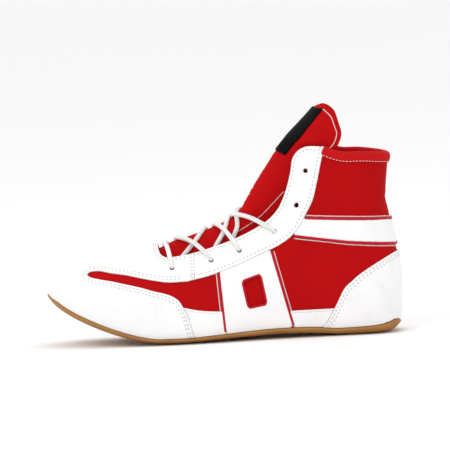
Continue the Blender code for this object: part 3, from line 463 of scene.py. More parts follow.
def edge(marks, side, straight=False, offset=FACE):
    """A line through marks, smooth or straight in the side view, as sections and turns."""
    marks = np.array(marks, float)
    numbers = np.arange(len(marks))
    places = np.linspace(0, numbers[-1], SPAN * numbers[-1] + 1)
    corners = side_view(marks[:, 0], marks[:, 1])
    plain = straight or len(marks) == 2
    wanted = rows_at(places, numbers, corners) if plain else flow(corners, SPAN)
    return settled(to_turns(rows_at(places, numbers, marks), side), wanted, offset)


def signed(line):
    """Turns of the medial side counted backwards from the base, for lines across it."""
    return np.stack([line[:, 0], np.where(line[:, 1] > 0.5, line[:, 1] - 1, line[:, 1])], axis=1)


def whole_sole_edge(side):
    """The sole's upper edge from the toe to the heel, short of the middle line at both ends."""
    marks = np.array(SOLE)
    way = (1 - np.cos(np.linspace(0, math.pi, 500))) / 2
    sections = marks[0, 0] + (marks[-1, 0] - marks[0, 0]) * way
    heights = np.interp(sections, marks[:, 0], marks[:, 1])
    line = to_turns(np.stack([sections, heights], axis=1), side)
    line = settled(line, side_view(sections, heights), GAP + SOLE_THICKNESS)
    return line[np.abs(signed(line)[:, 1]) > SOLE_TIP]


SOLE_TIP = 0.04  # the turn within which the sole's two edges run straight together
SOLE_EDGES = {side: whole_sole_edge(side) for side in SIGNS}


def sole_edge(side, first=0.0, last=LAST, rise=0.0):
    """The sole's upper edge from one section to another, raised by a share of a turn."""
    line = SOLE_EDGES[side]
    first, last = max(first, line[0, 0]), min(last, line[-1, 0])
    inner = line[(line[:, 0] > first) & (line[:, 0] < last)]
    ends = [[end, np.interp(end, line[:, 0], line[:, 1])] for end in (first, last)]
    line = np.concatenate([ends[:1], inner, ends[1:]])
    return line + (0.0, -rise * side)


def bridge(first, last, count=12):
    """A line of places straight from one place to another, both on the same count of turns."""
    return np.linspace(first, last, count)


def joined(*lines):
    """Lines end to end as one closed outline, spread evenly and without repeated points."""
    parts = [even(line)[:-1] for line in lines]
    whole = np.concatenate(parts)
    points = form_at(whole)
    apart = np.linalg.norm(points - np.roll(points, 1, axis=0), axis=1) > STEP * 0.2
    return whole[apart]


# Meshes
LEAST_GIRTH = 0.03  # keeps the picture's steps small at the toe's tip
GIRTHS = np.linalg.norm(AROUND, axis=2).sum(1).clip(LEAST_GIRTH)
GROWTH = np.cumsum(2 * math.pi * np.linalg.norm(AHEAD, axis=2).mean(1) / GIRTHS)


def plan(places):
    """A flat picture of the form for triangles: the turn is the angle, and the radius grows
    from section to section in step with the girth, so that small shapes keep their shape."""
    radius = np.exp(np.interp(places[:, 0], SECTIONS, GROWTH))
    angle = 2 * math.pi * places[:, 1]
    return np.stack([radius * np.cos(angle), radius * np.sin(angle)], axis=1)


def inside(spots, loop, chunk=4000):
    """Which spots of the plan lie in a loop, by counting its crossings to one side."""
    a, b = loop, np.roll(loop, -1, axis=0)
    found = np.zeros(len(spots), bool)
    slope = (b[:, 0] - a[:, 0]) / np.where(b[:, 1] == a[:, 1], 1e-12, b[:, 1] - a[:, 1])
    for start in range(0, len(spots), chunk):
        x, y = spots[start:start + chunk].T[:, :, None]
        across = (a[:, 1] > y) != (b[:, 1] > y)
        crossings = across & (x < a[:, 0] + slope * (y - a[:, 1]))
        found[start:start + chunk] = crossings.sum(1) % 2 == 1
    return found


def lattice(spacing):
    """Places over the whole form, a ring at a time, every other ring turned by half a step."""
    places = []
    section = 0.12
    ring = 0
    while section < LAST:
        row = int(section / SECTION_STEP)
        girth = np.linalg.norm(AROUND[row], axis=1).sum()
        depth = np.linalg.norm(AHEAD[row], axis=1).mean() / SECTION_STEP
        count = max(8, int(girth / spacing))
        turns = (np.arange(count) + 0.5 * (ring % 2)) / count
        places.append(np.stack([np.full(count, section), turns], axis=1))
        section += min(0.45, spacing * 0.9 / depth)
        ring += 1
    return np.concatenate(places)


def shifted(loop, distance):
    """A closed outline moved sideways on the form, to the left of its direction by a distance."""
    points = form_at(loop)
    return moved(loop, np.roll(points, -1, axis=0) - np.roll(points, 1, axis=0), distance)


def paces(places):
    """How far and which way the form's points go for each section, and for each turn, at places."""
    steps = ((0.01, 0.0), (0.0, 0.001))
    return [(form_at(places + step) - form_at(places - np.array(step))) / (2 * sum(step)) for step in steps]


def moved(line, tangent, distance):
    """Places moved on the form at right angles to a tangent, by a distance each."""
    way = np.cross(normal_at(line), unit(tangent))
    ahead, beside = paces(line)
    aa, bb, ab = (ahead ** 2).sum(1), (beside ** 2).sum(1), (ahead * beside).sum(1)
    p, q = (ahead * way).sum(1), (beside * way).sum(1)
    scale = np.maximum(aa * bb - ab ** 2, 1e-14)
    step = np.stack([(p * bb - q * ab) / scale, (q * aa - p * ab) / scale], axis=1)
    return line + step * np.reshape(distance, (-1, 1))


def new_object(name, vertices, faces, uv=None, values=None):
    """A mesh object at the origin, smooth shaded, with its own map and values per vertex."""
    mesh = bpy.data.meshes.new(name)
    mesh.from_pydata(np.asarray(vertices).tolist(), [], list(faces))
    mesh.shade_smooth()
    if uv is not None:
        layer = mesh.uv_layers.new(name="weave")
        corners = np.zeros(len(mesh.loops), np.int32)
        mesh.loops.foreach_get("vertex_index", corners)
        layer.data.foreach_set("uv", np.asarray(uv)[corners].ravel())
    for key, column in (values or {}).items():
        attribute = mesh.attributes.new(key, "FLOAT", "POINT")
        attribute.data.foreach_set("value", np.asarray(column, np.float32))
    item = bpy.data.objects.new(name, mesh)
    bpy.context.scene.collection.objects.link(item)
    return item


RIM_SHARES = (0.15, 0.5, 1.0, 2.2)  # how far in the rounded rim's rows of points lie


def cut_sheet(name, outline, low, high, holes=(), rounding=0.0007, spacing=0.0026, both=False, rim=0.25):
    """A closed sheet cut to an outline on the form, with holes and rounded edges.

    Places in the outline are joined into triangles. The outer face stands at high and the
    inner at low, both functions of the places. Near an edge the outer face falls along a
    quarter circle of the rounding's radius, to the rim's share of the thickness; both makes
    the inner face do the same.
    """
    loops = [outline] + [np.asarray(hole) for hole in holes]
    rims = [plan(loop) for loop in loops]
    border = np.concatenate([form_at(even(np.concatenate([loop, loop[:1]]), 0.0004)) for loop in loops])

    def within(places):
        spots = plan(places)
        keep = inside(spots, rims[0])
        for hole in rims[1:]:
            keep &= ~inside(spots, hole)
        return keep

    places, depths = list(loops), [np.zeros(len(loop)) for loop in loops]
    for share in RIM_SHARES:
        distance = rounding * share
        for loop in loops:
            for way in (1, -1):
                ring = shifted(loop, way * distance)
                ring = ring[within(ring)]
                gap = nearest(form_at(ring), border)
                ring = ring[gap > distance * 0.8]
                places.append(ring)
                depths.append(np.full(len(ring), distance))
    fill = lattice(spacing)
    fill = fill[within(fill)]
    gap = nearest(form_at(fill), border)
    keep = gap > rounding * RIM_SHARES[-1] + spacing * 0.4
    places.append(fill[keep])
    depths.append(gap[keep])
    places, depths = np.concatenate(places), np.concatenate(depths)
    edges, start = [], 0
    for loop in loops:
        index = start + np.arange(len(loop))
        edges += np.stack([index, np.roll(index, -1)], axis=1).tolist()
        start += len(loop)
    spots = plan(places)
    found = delaunay_2d_cdt([Vector(spot) for spot in spots.tolist()], edges, [], 0, 1e-6)
    source = np.array([first[0] if first else -1 for first in found[3]])
    triangles = source[np.array([face for face in found[2] if len(face) == 3])]
    triangles = triangles[(triangles >= 0).all(1)]
    middle = spots[triangles].mean(1)
    keep = inside(middle, rims[0])
    for hole in rims[1:]:
        keep &= ~inside(middle, hole)
    triangles = triangles[keep]
    a, b, c = (form_at(places)[triangles[:, k]] for k in range(3))
    facing = (np.cross(b - a, c - a) * normal_at(places)[triangles[:, 0]]).sum(1) < 0
    triangles[facing] = triangles[facing][:, ::-1]
    bulge = np.sqrt(1 - (1 - (depths / rounding).clip(0, 1)) ** 2)
    share = rim + (1 - rim) * bulge
    floor, roof = low(places), high(places)
    thick = roof - floor
    outer = skin(places, floor + thick * (1 + share) / 2 if both else floor + thick * share)
    inner = skin(places, floor + thick * (1 - share) / 2 if both else floor)
    count = len(places)
    sides = sides_of(triangles, count)
    faces = np.concatenate([triangles, triangles[:, ::-1] + count, sides])
    used = np.unique(faces)
    index = np.full(2 * count, -1)
    index[used] = np.arange(len(used))
    uv = np.concatenate([read(RUN_ROUND, *places.T, wraps=False), read(RUN_ALONG, *places.T)], axis=1)
    return new_object(name, np.concatenate([outer, inner])[used], index[faces],
                      np.concatenate([uv, uv])[used],
                      {"depth": np.concatenate([depths, depths])[used] * 1000,
                       "within": np.concatenate([np.zeros(count), np.ones(count)])[used]})


def sides_of(triangles, count):
    """The rim's triangles, between each open edge of the outer face and its copy below."""
    pairs = np.concatenate([triangles[:, [0, 1]], triangles[:, [1, 2]], triangles[:, [2, 0]]])
    forward = pairs[:, 0].astype(np.int64) * count + pairs[:, 1]
    backward = pairs[:, 1].astype(np.int64) * count + pairs[:, 0]
    a, b = pairs[~np.isin(forward, backward)].T
    return np.concatenate([np.stack([b, a, a + count], axis=1), np.stack([b, a + count, b + count], axis=1)])


def quads(rows, columns, loop=False, wrapped=True):
    """Four-sided faces over a grid of points: wrapped joins its columns' ends, loop its rows'."""
    i, j = np.meshgrid(np.arange(rows - (not loop)), np.arange(columns - (not wrapped)), indexing="ij")
    after, beside = (i + 1) % rows * columns, (j + 1) % columns
    i = i * columns
    return np.stack([i + j, i + beside, after + beside, after + j], axis=-1).reshape(-1, 4)


def sweep(rings, loop=False):
    """A skin over rings of points, as vertices and faces that look outward; ends are capped."""
    rows, sides = rings.shape[:2]
    walls = quads(rows, sides, loop)
    vertices = rings.reshape(-1, 3)
    a, b, c = (vertices[walls[:, k]] - vertices.mean(0) for k in range(3))
    caps = [] if loop else [list(range(sides))[::-1], list(range((rows - 1) * sides, rows * sides))]
    faces = walls.tolist() + caps
    if (a * np.cross(b, c)).sum() < 0:
        faces = [face[::-1] for face in faces]
    return vertices, faces


def angles(count):
    """Equal steps once round a circle."""
    return 2 * math.pi * np.arange(count) / count


def round_rings(points, radius, sides):
    """Circles of a radius about each point of a path, square to it."""
    tangent = unit(np.gradient(points, axis=0))
    across = unit(np.cross(tangent, (1.0, 0.05, 0.1)))
    upward = np.cross(across, tangent)
    angle = angles(sides)[:, None]
    ring = across[:, None] * np.cos(angle) + upward[:, None] * np.sin(angle)
    return points[:, None] + ring * np.broadcast_to(radius, len(points))[:, None, None]


def grid(rows, columns):
    """Every pair of a row's and a column's number, rows first."""
    return np.stack(np.meshgrid(rows, columns, indexing="ij"), axis=-1).reshape(-1, 2)


def strip_rings(line, lift, wide, tall, sides=8, loop=False):
    """Ovals lying on the form along a line of places: wide across it and tall out of it."""
    points = skin(line, lift)
    closed = np.roll(points, -1, axis=0) - np.roll(points, 1, axis=0)
    out = normal_at(line)
    across = np.cross(out, unit(closed if loop else np.gradient(points, axis=0)))
    angle = angles(sides)[:, None]
    return points[:, None] + across[:, None] * np.cos(angle) * wide + out[:, None] * np.sin(angle) * tall


def united(name, parts):
    """Several skins as one object."""
    starts = np.cumsum([0] + [len(vertices) for vertices, faces in parts])
    faces = [[index + int(start) for index in face]
             for (vertices, part), start in zip(parts, starts) for face in part]
    return new_object(name, np.concatenate([vertices for vertices, part in parts]), faces)


# Stitches: small rounded rods, half sunk, in rows on the form
ROD_SHARES = np.array([-1.0, -0.86, -0.4, 0.4, 0.86, 1.0])
ROD_ROUND = np.array([0.05, 0.6, 1.0, 1.0, 0.6, 0.05])
ROD_SIDES = 6
ROD_FLATNESS = 1.15


def stitches(name, lines, lift, pitch=0.0032, length=0.0015, radius=0.00032):
    """Rows of stitches along lines of places: each rod is a short spindle along the row."""
    spots, ways, ups = [], [], []
    for line in lines:
        line = even(line, pitch)
        points = skin(line, lift)
        spots.append(points)
        ways.append(unit(np.gradient(points, axis=0)))
        ups.append(normal_at(line))
    spots, ways, ups = (np.concatenate(group) for group in (spots, ways, ups))
    across = np.cross(ups, ways)
    x = np.repeat(ROD_SHARES * length / 2, ROD_SIDES)
    y = (ROD_ROUND[:, None] * np.cos(angles(ROD_SIDES)) * radius * ROD_FLATNESS).ravel()
    z = (ROD_ROUND[:, None] * np.sin(angles(ROD_SIDES)) * radius).ravel()
    vertices = (spots[:, None] + ways[:, None] * x[:, None] + across[:, None] * y[:, None]
                + ups[:, None] * z[:, None]).reshape(-1, 3)
    each = len(ROD_SHARES) * ROD_SIDES
    starts = np.arange(len(spots))[:, None] * each
    faces = (quads(len(ROD_SHARES), ROD_SIDES) + starts[:, None]).reshape(-1, 4).tolist()
    faces += (starts + np.arange(ROD_SIDES)[::-1]).tolist()
    faces += (starts + each - ROD_SIDES + np.arange(ROD_SIDES)).tolist()
    return new_object(name, vertices, faces)


# Finishes
class Value:
    """A shader socket; the usual operators add Math nodes."""

    def __init__(self, finish, socket):
        self.finish, self.socket = finish, socket

    def math(self, operation, *others):
        inputs = dict(enumerate((self,) + others))
        return self.finish.node("ShaderNodeMath", {"operation": operation}, inputs)

    def __add__(self, other):
        return self.math("ADD", other)

    __radd__ = __add__

    def __mul__(self, other):
        return self.math("MULTIPLY", other)

    __rmul__ = __mul__

    def __sub__(self, other):
        return self.math("SUBTRACT", other)

    def __rsub__(self, other):
        return self.finish.node("ShaderNodeMath", {"operation": "SUBTRACT"}, {0: other, 1: self})

    def sine(self):
        return self.math("SINE")

    def wave(self, pitch):
        """A sine along the value, one wave to each pitch."""
        return (self * (2 * math.pi / pitch)).sine()

    def between(self, low, high):
        """0 below low, 1 above high, and smooth from one to the other."""
        return self.finish.node("ShaderNodeMapRange", {"interpolation_type": "SMOOTHSTEP"},
                                {0: self, 1: low, 2: high, 3: 0.0, 4: 1.0})


class Finish:
    """A material in the making; node adds any shader node, by type, settings and inputs."""

    def __init__(self, name, **constants):
        self.material = bpy.data.materials.new(name)
        self.material.use_nodes = True
        self.tree = self.material.node_tree
        self.shader = self.tree.nodes["Principled BSDF"]
        for key, value in constants.items():
            self.shader.inputs[key.replace("_", " ")].default_value = value

    def node(self, kind, settings=None, inputs=None, out=0):
        made = self.tree.nodes.new(kind)
        for key, value in (settings or {}).items():
            setattr(made, key, value)
        for key, value in (inputs or {}).items():
            self.plug(made.inputs[key], value)
        return Value(self, made.outputs[out])

    def plug(self, socket, value):
        if isinstance(value, Value):
            self.tree.links.new(value.socket, socket)
        else:
            socket.default_value = value

    def feed(self, key, value):
        self.plug(self.shader.inputs[key], value)
        return self

    def place(self):
        return self.node("ShaderNodeTexCoord", out="Object")

    def axes(self, vector=None):
        split = self.tree.nodes.new("ShaderNodeSeparateXYZ")
        self.plug(split.inputs[0], vector or self.place())
        return [Value(self, socket) for socket in split.outputs]

    def weave(self):
        """The two coordinates of the piece's own map, in metres."""
        return self.axes(self.node("ShaderNodeUVMap", {"uv_map": "weave"}))[:2]

    def attribute(self, key):
        return self.node("ShaderNodeAttribute", {"attribute_name": key}, out="Fac")

    def noise(self, scale, detail=2.0, roughness=0.5, vector=None):
        return self.node("ShaderNodeTexNoise", {}, {"Vector": vector or self.place(), "Scale": scale,
                                                    "Detail": detail, "Roughness": roughness})

    def cells(self, scale, vector=None):
        return self.node("ShaderNodeTexVoronoi", {}, {"Vector": vector or self.place(), "Scale": scale})

    def mix(self, share, first, second):
        """Colours blended by a share; plain colours are given as three numbers."""
        made = self.tree.nodes.new("ShaderNodeMix")
        made.data_type = "RGBA"
        self.plug(made.inputs[0], share)
        for place, colour in ((6, first), (7, second)):
            self.plug(made.inputs[place], colour if isinstance(colour, Value) else (*colour, 1.0))
        return Value(self, made.outputs[2])

    def bump(self, height, distance, strength=1.0, under=None):
        inputs = {"Height": height, "Distance": distance, "Strength": strength}
        if under:
            inputs["Normal"] = under
        return self.node("ShaderNodeBump", {}, inputs)


def white_leather():
    """Smooth white leather: fine grain, soft unevenness, blotches of soil, and painted shade greying it a
    little near the cut edges.
    """
    f = Finish("white_leather", Specular_IOR_Level=0.45)
    broad = f.noise(26.0, 3.0)
    grain = f.cells(1100.0)
    pores = f.noise(2600.0, 2.0)
    # Painted shade: the leather greys toward its cut edges, added to random blotches of soil; both blend
    # toward the same grey below.
    edge_shade = 1 - f.attribute("depth").between(0.1, 1.4)
    soil_and_edge_shade = f.noise(60.0, 4.0, 0.6).between(0.5, 0.75) * 0.18 + edge_shade * 0.22
    colour = f.mix(broad.between(0.35, 0.7), (0.88, 0.88, 0.875), (0.84, 0.84, 0.837))
    f.feed("Base Color", f.mix(soil_and_edge_shade, colour, (0.62, 0.61, 0.60)))
    f.feed("Roughness", 0.36 + broad * 0.14 + grain * 0.06)
    soft = f.bump(f.noise(70.0, 3.0), 0.0006, 0.35)
    f.feed("Normal", f.bump(grain * 0.7 + pores * 0.3, 0.00010, 0.5, soft))
    return f.material


def red_textile():
    """Red sports cloth: small woven cells with pinholes, and level ribs behind the ankle. Painted shade
    darkens the pinholes, the ribs' grooves and the whole inner face.
    """
    f = Finish("red_textile", Specular_IOR_Level=0.06)
    u, v = f.weave()
    weave = u.wave(0.0013) * v.wave(0.0013) * 0.5 + 0.5
    fuzz = f.noise(1500.0, 3.0)
    tone = f.noise(22.0, 3.0)
    x, _, z = f.axes()
    ribs = z.wave(0.0024) * 0.5 + 0.5
    ribbed = x.between(-0.006, 0.020) * z.between(0.080, 0.090) * 0.6
    weave = weave * (1 - ribbed) + ribs * ribbed
    red = f.mix(tone.between(0.3, 0.7), (0.47, 0.0032, 0.0045), (0.41, 0.0026, 0.0036))
    # Painted shade: where the weave and the ribs sink, in the pinholes and the grooves, the red is darker.
    red = f.mix(weave.between(0.0, 0.35), (0.33, 0.0022, 0.0030), red)
    # Painted shade: the inner face is a darker red, to look shaded inside the collar and through the eyelet
    # holes.
    shaded_inside_red = f.mix(fuzz, (0.17, 0.003, 0.004), (0.23, 0.005, 0.006))
    f.feed("Base Color", f.mix(f.attribute("within"), red, shaded_inside_red))
    f.feed("Roughness", 0.72 + fuzz * 0.16)
    f.feed("Normal", f.bump(weave * 0.7 + fuzz * 0.3, 0.00018, 0.5))
    return f.material


def tongue_cloth():
    """The tongue's smoother red cloth: fine upright knit lines under a soft nap."""
    f = Finish("tongue_cloth", Specular_IOR_Level=0.06)
    u, v = f.weave()
    knit = u.wave(0.0012) * 0.5 + v.wave(0.0018) * 0.2
    fuzz = f.noise(1300.0, 3.0)
    tone = f.noise(30.0, 3.0)
    red = f.mix(tone.between(0.3, 0.7), (0.50, 0.0035, 0.0050), (0.43, 0.0028, 0.0038))
    f.feed("Base Color", f.mix(fuzz.between(0.3, 0.7) * 0.25, red, (0.44, 0.003, 0.004)))
    f.feed("Roughness", 0.74 + fuzz * 0.14)
    f.feed("Normal", f.bump(knit * 0.6 + fuzz * 0.4, 0.00022, 0.5))
    return f.material


def gum_rubber():
    """Tan gum rubber in uneven browns, with small lozenges of tread underneath."""
    f = Finish("gum_rubber", Specular_IOR_Level=0.35)
    x, y, _ = f.axes()
    tone = f.noise(34.0, 4.0)
    speck = f.noise(1900.0, 2.0)
    brown = f.mix(tone.between(0.3, 0.7), (0.44, 0.205, 0.052), (0.36, 0.155, 0.038))
    f.feed("Base Color", f.mix(speck.between(0.45, 0.75) * 0.3, brown, (0.27, 0.11, 0.03)))
    f.feed("Roughness", 0.50 + tone * 0.2)
    tread = (x.wave(0.0060) * y.wave(0.0060)).between(-0.1, 0.25)
    f.feed("Normal", f.bump(speck * 0.15 + tread * 0.85 * f.attribute("under"), 0.0005, 0.6))
    return f.material


def white_lace():
    """Round woven lace: two families of strands crossing on the slant, with painted shade in the grooves
    between them.
    """
    f = Finish("white_lace", Sheen_Weight=0.1, Specular_IOR_Level=0.25)
    run, angle = f.weave()
    along_it, round_it = run * (2 * math.pi / 0.0022), angle * 3.0
    strands = (along_it + round_it).sine() * (along_it - round_it).sine() * 0.5 + 0.5
    fuzz = f.noise(1600.0, 3.0)
    # Painted shade: the grooves between the strands, where the bump sinks, are grey.
    f.feed("Base Color", f.mix(strands.between(0.1, 0.5), (0.66, 0.65, 0.63), (0.87, 0.87, 0.86)))
    f.feed("Roughness", 0.66 + fuzz * 0.16)
    f.feed("Normal", f.bump(strands * 0.8 + fuzz * 0.2, 0.0004, 0.7))
    return f.material


def fuzzy(name, noise, first, second, rough, spread, bump, specular, pattern=None):
    """A finish of one noise: it blends two colours, adds to the roughness, and raises the
    surface, half and half with a pattern where there is one."""
    f = Finish(name, Specular_IOR_Level=specular)
    fuzz = f.noise(*noise)
    f.feed("Base Color", f.mix(fuzz, first, second))
    f.feed("Roughness", rough + fuzz * spread)
    f.feed("Normal", f.bump(pattern(*f.weave()) * 0.5 + fuzz * 0.5 if pattern else fuzz, *bump))
    return f.material


def binding_tape():
    """Folded crimson tape: fine crosswise ribs."""
    return fuzzy("binding_tape", (1200.0, 3.0), (0.46, 0.0045, 0.0065), (0.55, 0.0070, 0.0090),
                 0.70, 0.15, (0.00018, 0.5), 0.10, lambda u, v: u.wave(0.0011))


def footbed_cloth():
    """Dark red lining cloth."""
    return fuzzy("footbed_cloth", (900.0, 4.0), (0.24, 0.010, 0.014), (0.34, 0.016, 0.020),
                 0.85, 0.1, (0.0003, 0.5), 0.2)


def black_label():
    """Black woven label: fine rows with a slight sheen."""
    return fuzzy("black_label", (1400.0, 2.0), (0.0020, 0.0020, 0.0022), (0.0055, 0.0055, 0.0060),
                 0.55, 0.2, (0.00012, 0.6), 0.05, lambda u, v: v.wave(0.0007) * 0.5 + u.wave(0.0007) * 0.5)


def thread(name, colour):
    """Sewing thread, darker in its twist."""
    dark = tuple(part * 0.7 for part in colour)
    return fuzzy(name, (2400.0, 2.0), dark, colour, 0.6, 0.2, (0.0001, 0.5), 0.3)


def crimson_piping():
    """Smooth crimson cord with a slight gloss."""
    f = Finish("crimson_piping", Specular_IOR_Level=0.15)
    tone = f.noise(300.0, 3.0)
    f.feed("Base Color", f.mix(tone, (0.42, 0.003, 0.012), (0.50, 0.005, 0.018)))
    f.feed("Roughness", 0.42 + tone * 0.12)
    f.feed("Normal", f.bump(f.noise(1500.0), 0.0001, 0.4))
    return f.material


def dress(item, material, slot, *nodes):
    """Give a piece its finish, tie it to the body, and hide the CAD's parts of the nodes it stands for."""
    item.data.materials.clear()
    item.data.materials.append(material)
    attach(item, "root")
    if nodes:
        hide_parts(*nodes)
    return item


# The pieces
LEATHER_FINISH = white_leather()
GREY_THREAD = thread("grey_thread", (0.52, 0.52, 0.52))
CREAM_THREAD = thread("cream_thread", (0.80, 0.74, 0.70))


def level(value):
    """The same offset everywhere."""
    return lambda places: np.full(len(places), value)


def leather(node, outline, holes=(), spacing=0.0026):
    """A piece of leather on the form, in place of the CAD's node of that name."""
    item = cut_sheet(f"{node}_leather", outline, level(GAP), level(FACE), holes, spacing=spacing)
    dress(item, LEATHER_FINISH, "white_leather", node)


def throat_edge(side):
    """The throat's edge from its front at the vamp up to the collar's corner."""
    return edge(THROAT, side)


def mouth_edge(side):
    """The throat's front, which the vamp makes, as far as the eyestay's start."""
    return throat_edge(side)[:SPAN * MOUTH_MARKS + 1]


def whole_collar():
    """The collar's edge from the lateral corner of the throat round the heel to the medial one."""
    lateral, medial = (signed(edge([THROAT[-1]] + COLLAR, side)) for side in SIGNS)
    return np.concatenate([lateral, medial[::-1][1:]])


def hole_loop(mark, side):
    """A round hole on the form: a small circle about an eyelet's mark."""
    ring = np.repeat(edge([mark, (mark[0] + 0.01, mark[1])], side)[:1], HOLE_POINTS, axis=0)
    ahead, out = unit(paces(ring)[0]), normal_at(ring)
    angle = angles(HOLE_POINTS)[:, None]
    way = ahead * np.cos(angle) + np.cross(out, ahead) * np.sin(angle)
    return moved(ring, np.cross(way, out), EYELET_RADIUS)


HOLE_POINTS = 20
MOUTH_MARKS = 4
SOLE_CLEAR = 0.0008  # the turn left between the sole's edge and the leather's
EYELET_LOOPS = {side: [hole_loop(mark, side) for mark in EYELETS] for side in SIGNS}


def inner_sole(first, last, share, fullness):
    """An outline inside the sole's, from one section to another: a share of the sole's turns,
    with both ends rounded off by the root of a sine."""
    lines = []
    for side in SIGNS:
        line = signed(sole_edge(side, first, last))
        taper = np.sqrt(np.sin(np.linspace(0, math.pi, len(line))).clip(1e-4))
        lines.append(np.stack([line[:, 0], line[:, 1] * share * np.minimum(taper * fullness, 1)], axis=1))
    return joined(lines[0], lines[1][::-1])


def make_upper():
    """The textile wall: the whole form below the throat and the collar, open underneath."""
    outline = joined(throat_edge(-1), whole_collar(), throat_edge(1)[::-1])
    holes = [inner_sole(2.6, 15.2, 0.72, 1.3)] + EYELET_LOOPS[-1] + EYELET_LOOPS[1]
    item = cut_sheet("upper_textile", outline, level(-UPPER_WALL), level(0.0), holes,
                     rounding=0.0009, spacing=0.0030, both=True)
    dress(item, red_textile(), "red_textile", "upper")


def numbers_of(things, key, width=1):
    """A value of every vertex or attribute entry, as rows of so many numbers."""
    numbers = np.zeros(len(things) * width)
    things.foreach_get(key, numbers)
    return numbers.reshape(-1, width)


def make_outsole():
    """The gum sole, pressed flat on the floor; its tread lies on the outer face, away from the edge."""
    lateral, medial = signed(sole_edge(-1)), signed(sole_edge(1))
    outline = joined(lateral, bridge(lateral[-1], medial[-1]), medial[::-1], bridge(medial[0], lateral[0]))
    item = cut_sheet("gum_outsole", outline, level(GAP), level(GAP + SOLE_THICKNESS), rounding=0.0006,
                     spacing=0.0030, rim=0.7)
    mesh = item.data
    points = numbers_of(mesh.vertices, "co", 3)
    points[:, 2] = points[:, 2].clip(0)
    mesh.vertices.foreach_set("co", points.ravel())
    within, depth = (numbers_of(mesh.attributes[key].data, "value").ravel() for key in ("within", "depth"))
    under = mesh.attributes.new("under", "FLOAT", "POINT")
    under.data.foreach_set("value", (1 - within) * (depth > 2.0))
    dress(item, gum_rubber(), "gum_rubber", "outsole")


def make_insole():
    """The insole, a little below the upper's inner face."""
    top = UPPER_WALL + GAP + 0.0004
    item = cut_sheet("footbed", inner_sole(2.0, 15.6, 0.93, 1.6), level(-top - INSOLE), level(-top),
                     rounding=0.001, spacing=0.0040, both=True)
    dress(item, footbed_cloth(), "footbed", "insole")


def make_vamp():
    """Toe, rand and vamp in one: from the toe's base back along the sole, round the slit to the throat."""
    lines = []
    for side in SIGNS:
        foot = sole_edge(side, last=VAMP_REAR[0][0], rise=SOLE_CLEAR)
        slit = edge(VAMP_REAR + SLIT_NOSE[1:] + VAMP_LOWER[1:] + [THROAT[MOUTH_MARKS]], side)
        lines.append(np.concatenate([foot[:-1], slit, mouth_edge(side)[::-1][1:]]))
    lateral, medial = lines
    outline = joined(lateral, medial[::-1], bridge(signed(medial[:1])[0], lateral[0]))
    leather("vamp", outline, [EYELET_LOOPS[side][0] for side in SIGNS])


def eyestay_edges(side):
    """The eyestay's front end, its lower edge, its top end and its edge on the throat."""
    start = edge([THROAT[MOUTH_MARKS], VAMP_LOWER[-1]], side)
    lower = edge([VAMP_LOWER[-1]] + EYESTAY_LOWER[1:], side)
    end = edge([EYESTAY_LOWER[-1], THROAT[-1]], side)
    return start, lower, end, throat_edge(side)[SPAN * MOUTH_MARKS:][::-1]


def make_eyestay(side, word):
    """One eyestay with its five punched holes; the lowest hole is in the vamp."""
    leather(f"eyestay_{word}", joined(*eyestay_edges(side)), EYELET_LOOPS[side][1:], spacing=0.0024)


def make_counter():
    """The heel counter, from its front edges round the heel and down to the sole."""
    lateral, medial = (signed(edge(COUNTER_FRONT, side)) for side in SIGNS)
    feet = [signed(sole_edge(side, COUNTER_FRONT[0][0], rise=SOLE_CLEAR)) for side in SIGNS]
    under = bridge(feet[1][-1], feet[0][-1])
    leather("heel_counter", joined(lateral, medial[::-1], feet[1], under, feet[0][::-1]))


def band_edges():
    """The ankle band's lower edges and its upper ones, the lateral and the medial of each."""
    return [[signed(edge(marks, side, straight=True)) for side in SIGNS]
            for marks in (BAND_LOWER, BAND_UPPER)]


def below_eyestay(side, first, last):
    """The eyestay's lower edge between two sections, kept off the corners at both."""
    line = eyestay_edges(side)[1]
    return line[(line[:, 0] >= first + 0.05) & (line[:, 0] <= last - 0.05)]


def make_band():
    """The ankle band, which runs round the heel from one eyestay to the other."""
    lower, upper = band_edges()
    fronts = []
    for side, low, high in zip(SIGNS, lower, upper):
        inner = signed(below_eyestay(side, low[0, 0], high[0, 0]))
        fronts.append(np.concatenate([low[:1], inner, high[:1]]))
    outline = joined(lower[0], lower[1][::-1], fronts[1], upper[1], upper[0][::-1], fronts[0][::-1])
    leather("ankle_band", outline)


def saddle_lines(side):
    """The side panel's front, foot, rear and top; its top is the eyestay's lower edge."""
    front = edge([SADDLE[0], SADDLE[3]], side)
    rear = edge([SADDLE[2], SADDLE[1]], side)
    foot = sole_edge(side, SADDLE[3][0], SADDLE[2][0], rise=SOLE_CLEAR)
    return front[:-1], foot, rear[1:], below_eyestay(side, SADDLE[0][0], SADDLE[1][0])[::-1]


CORNER_CUT = 0.09


def window_loop(side):
    """The window's outline, its corners cut off by a share of its sides."""
    corners = np.array(WINDOW)
    cuts = [(np.roll(corners, way, axis=0) - corners) * CORNER_CUT for way in (1, -1)]
    marks = np.stack([corners + cut for cut in cuts], axis=1).reshape(-1, 2).tolist()
    return joined(edge(marks + marks[:1], side, straight=True))


def make_saddle(side, word):
    """One plain side panel with its window."""
    leather(f"saddle_{word}", joined(*saddle_lines(side)), [window_loop(side)])


def beyond(line, corner):
    """The part of a line that lies farther from the form's top than a corner does."""
    return line[np.abs(line[:, 1] - 0.5) > abs(corner[1] - 0.5)]


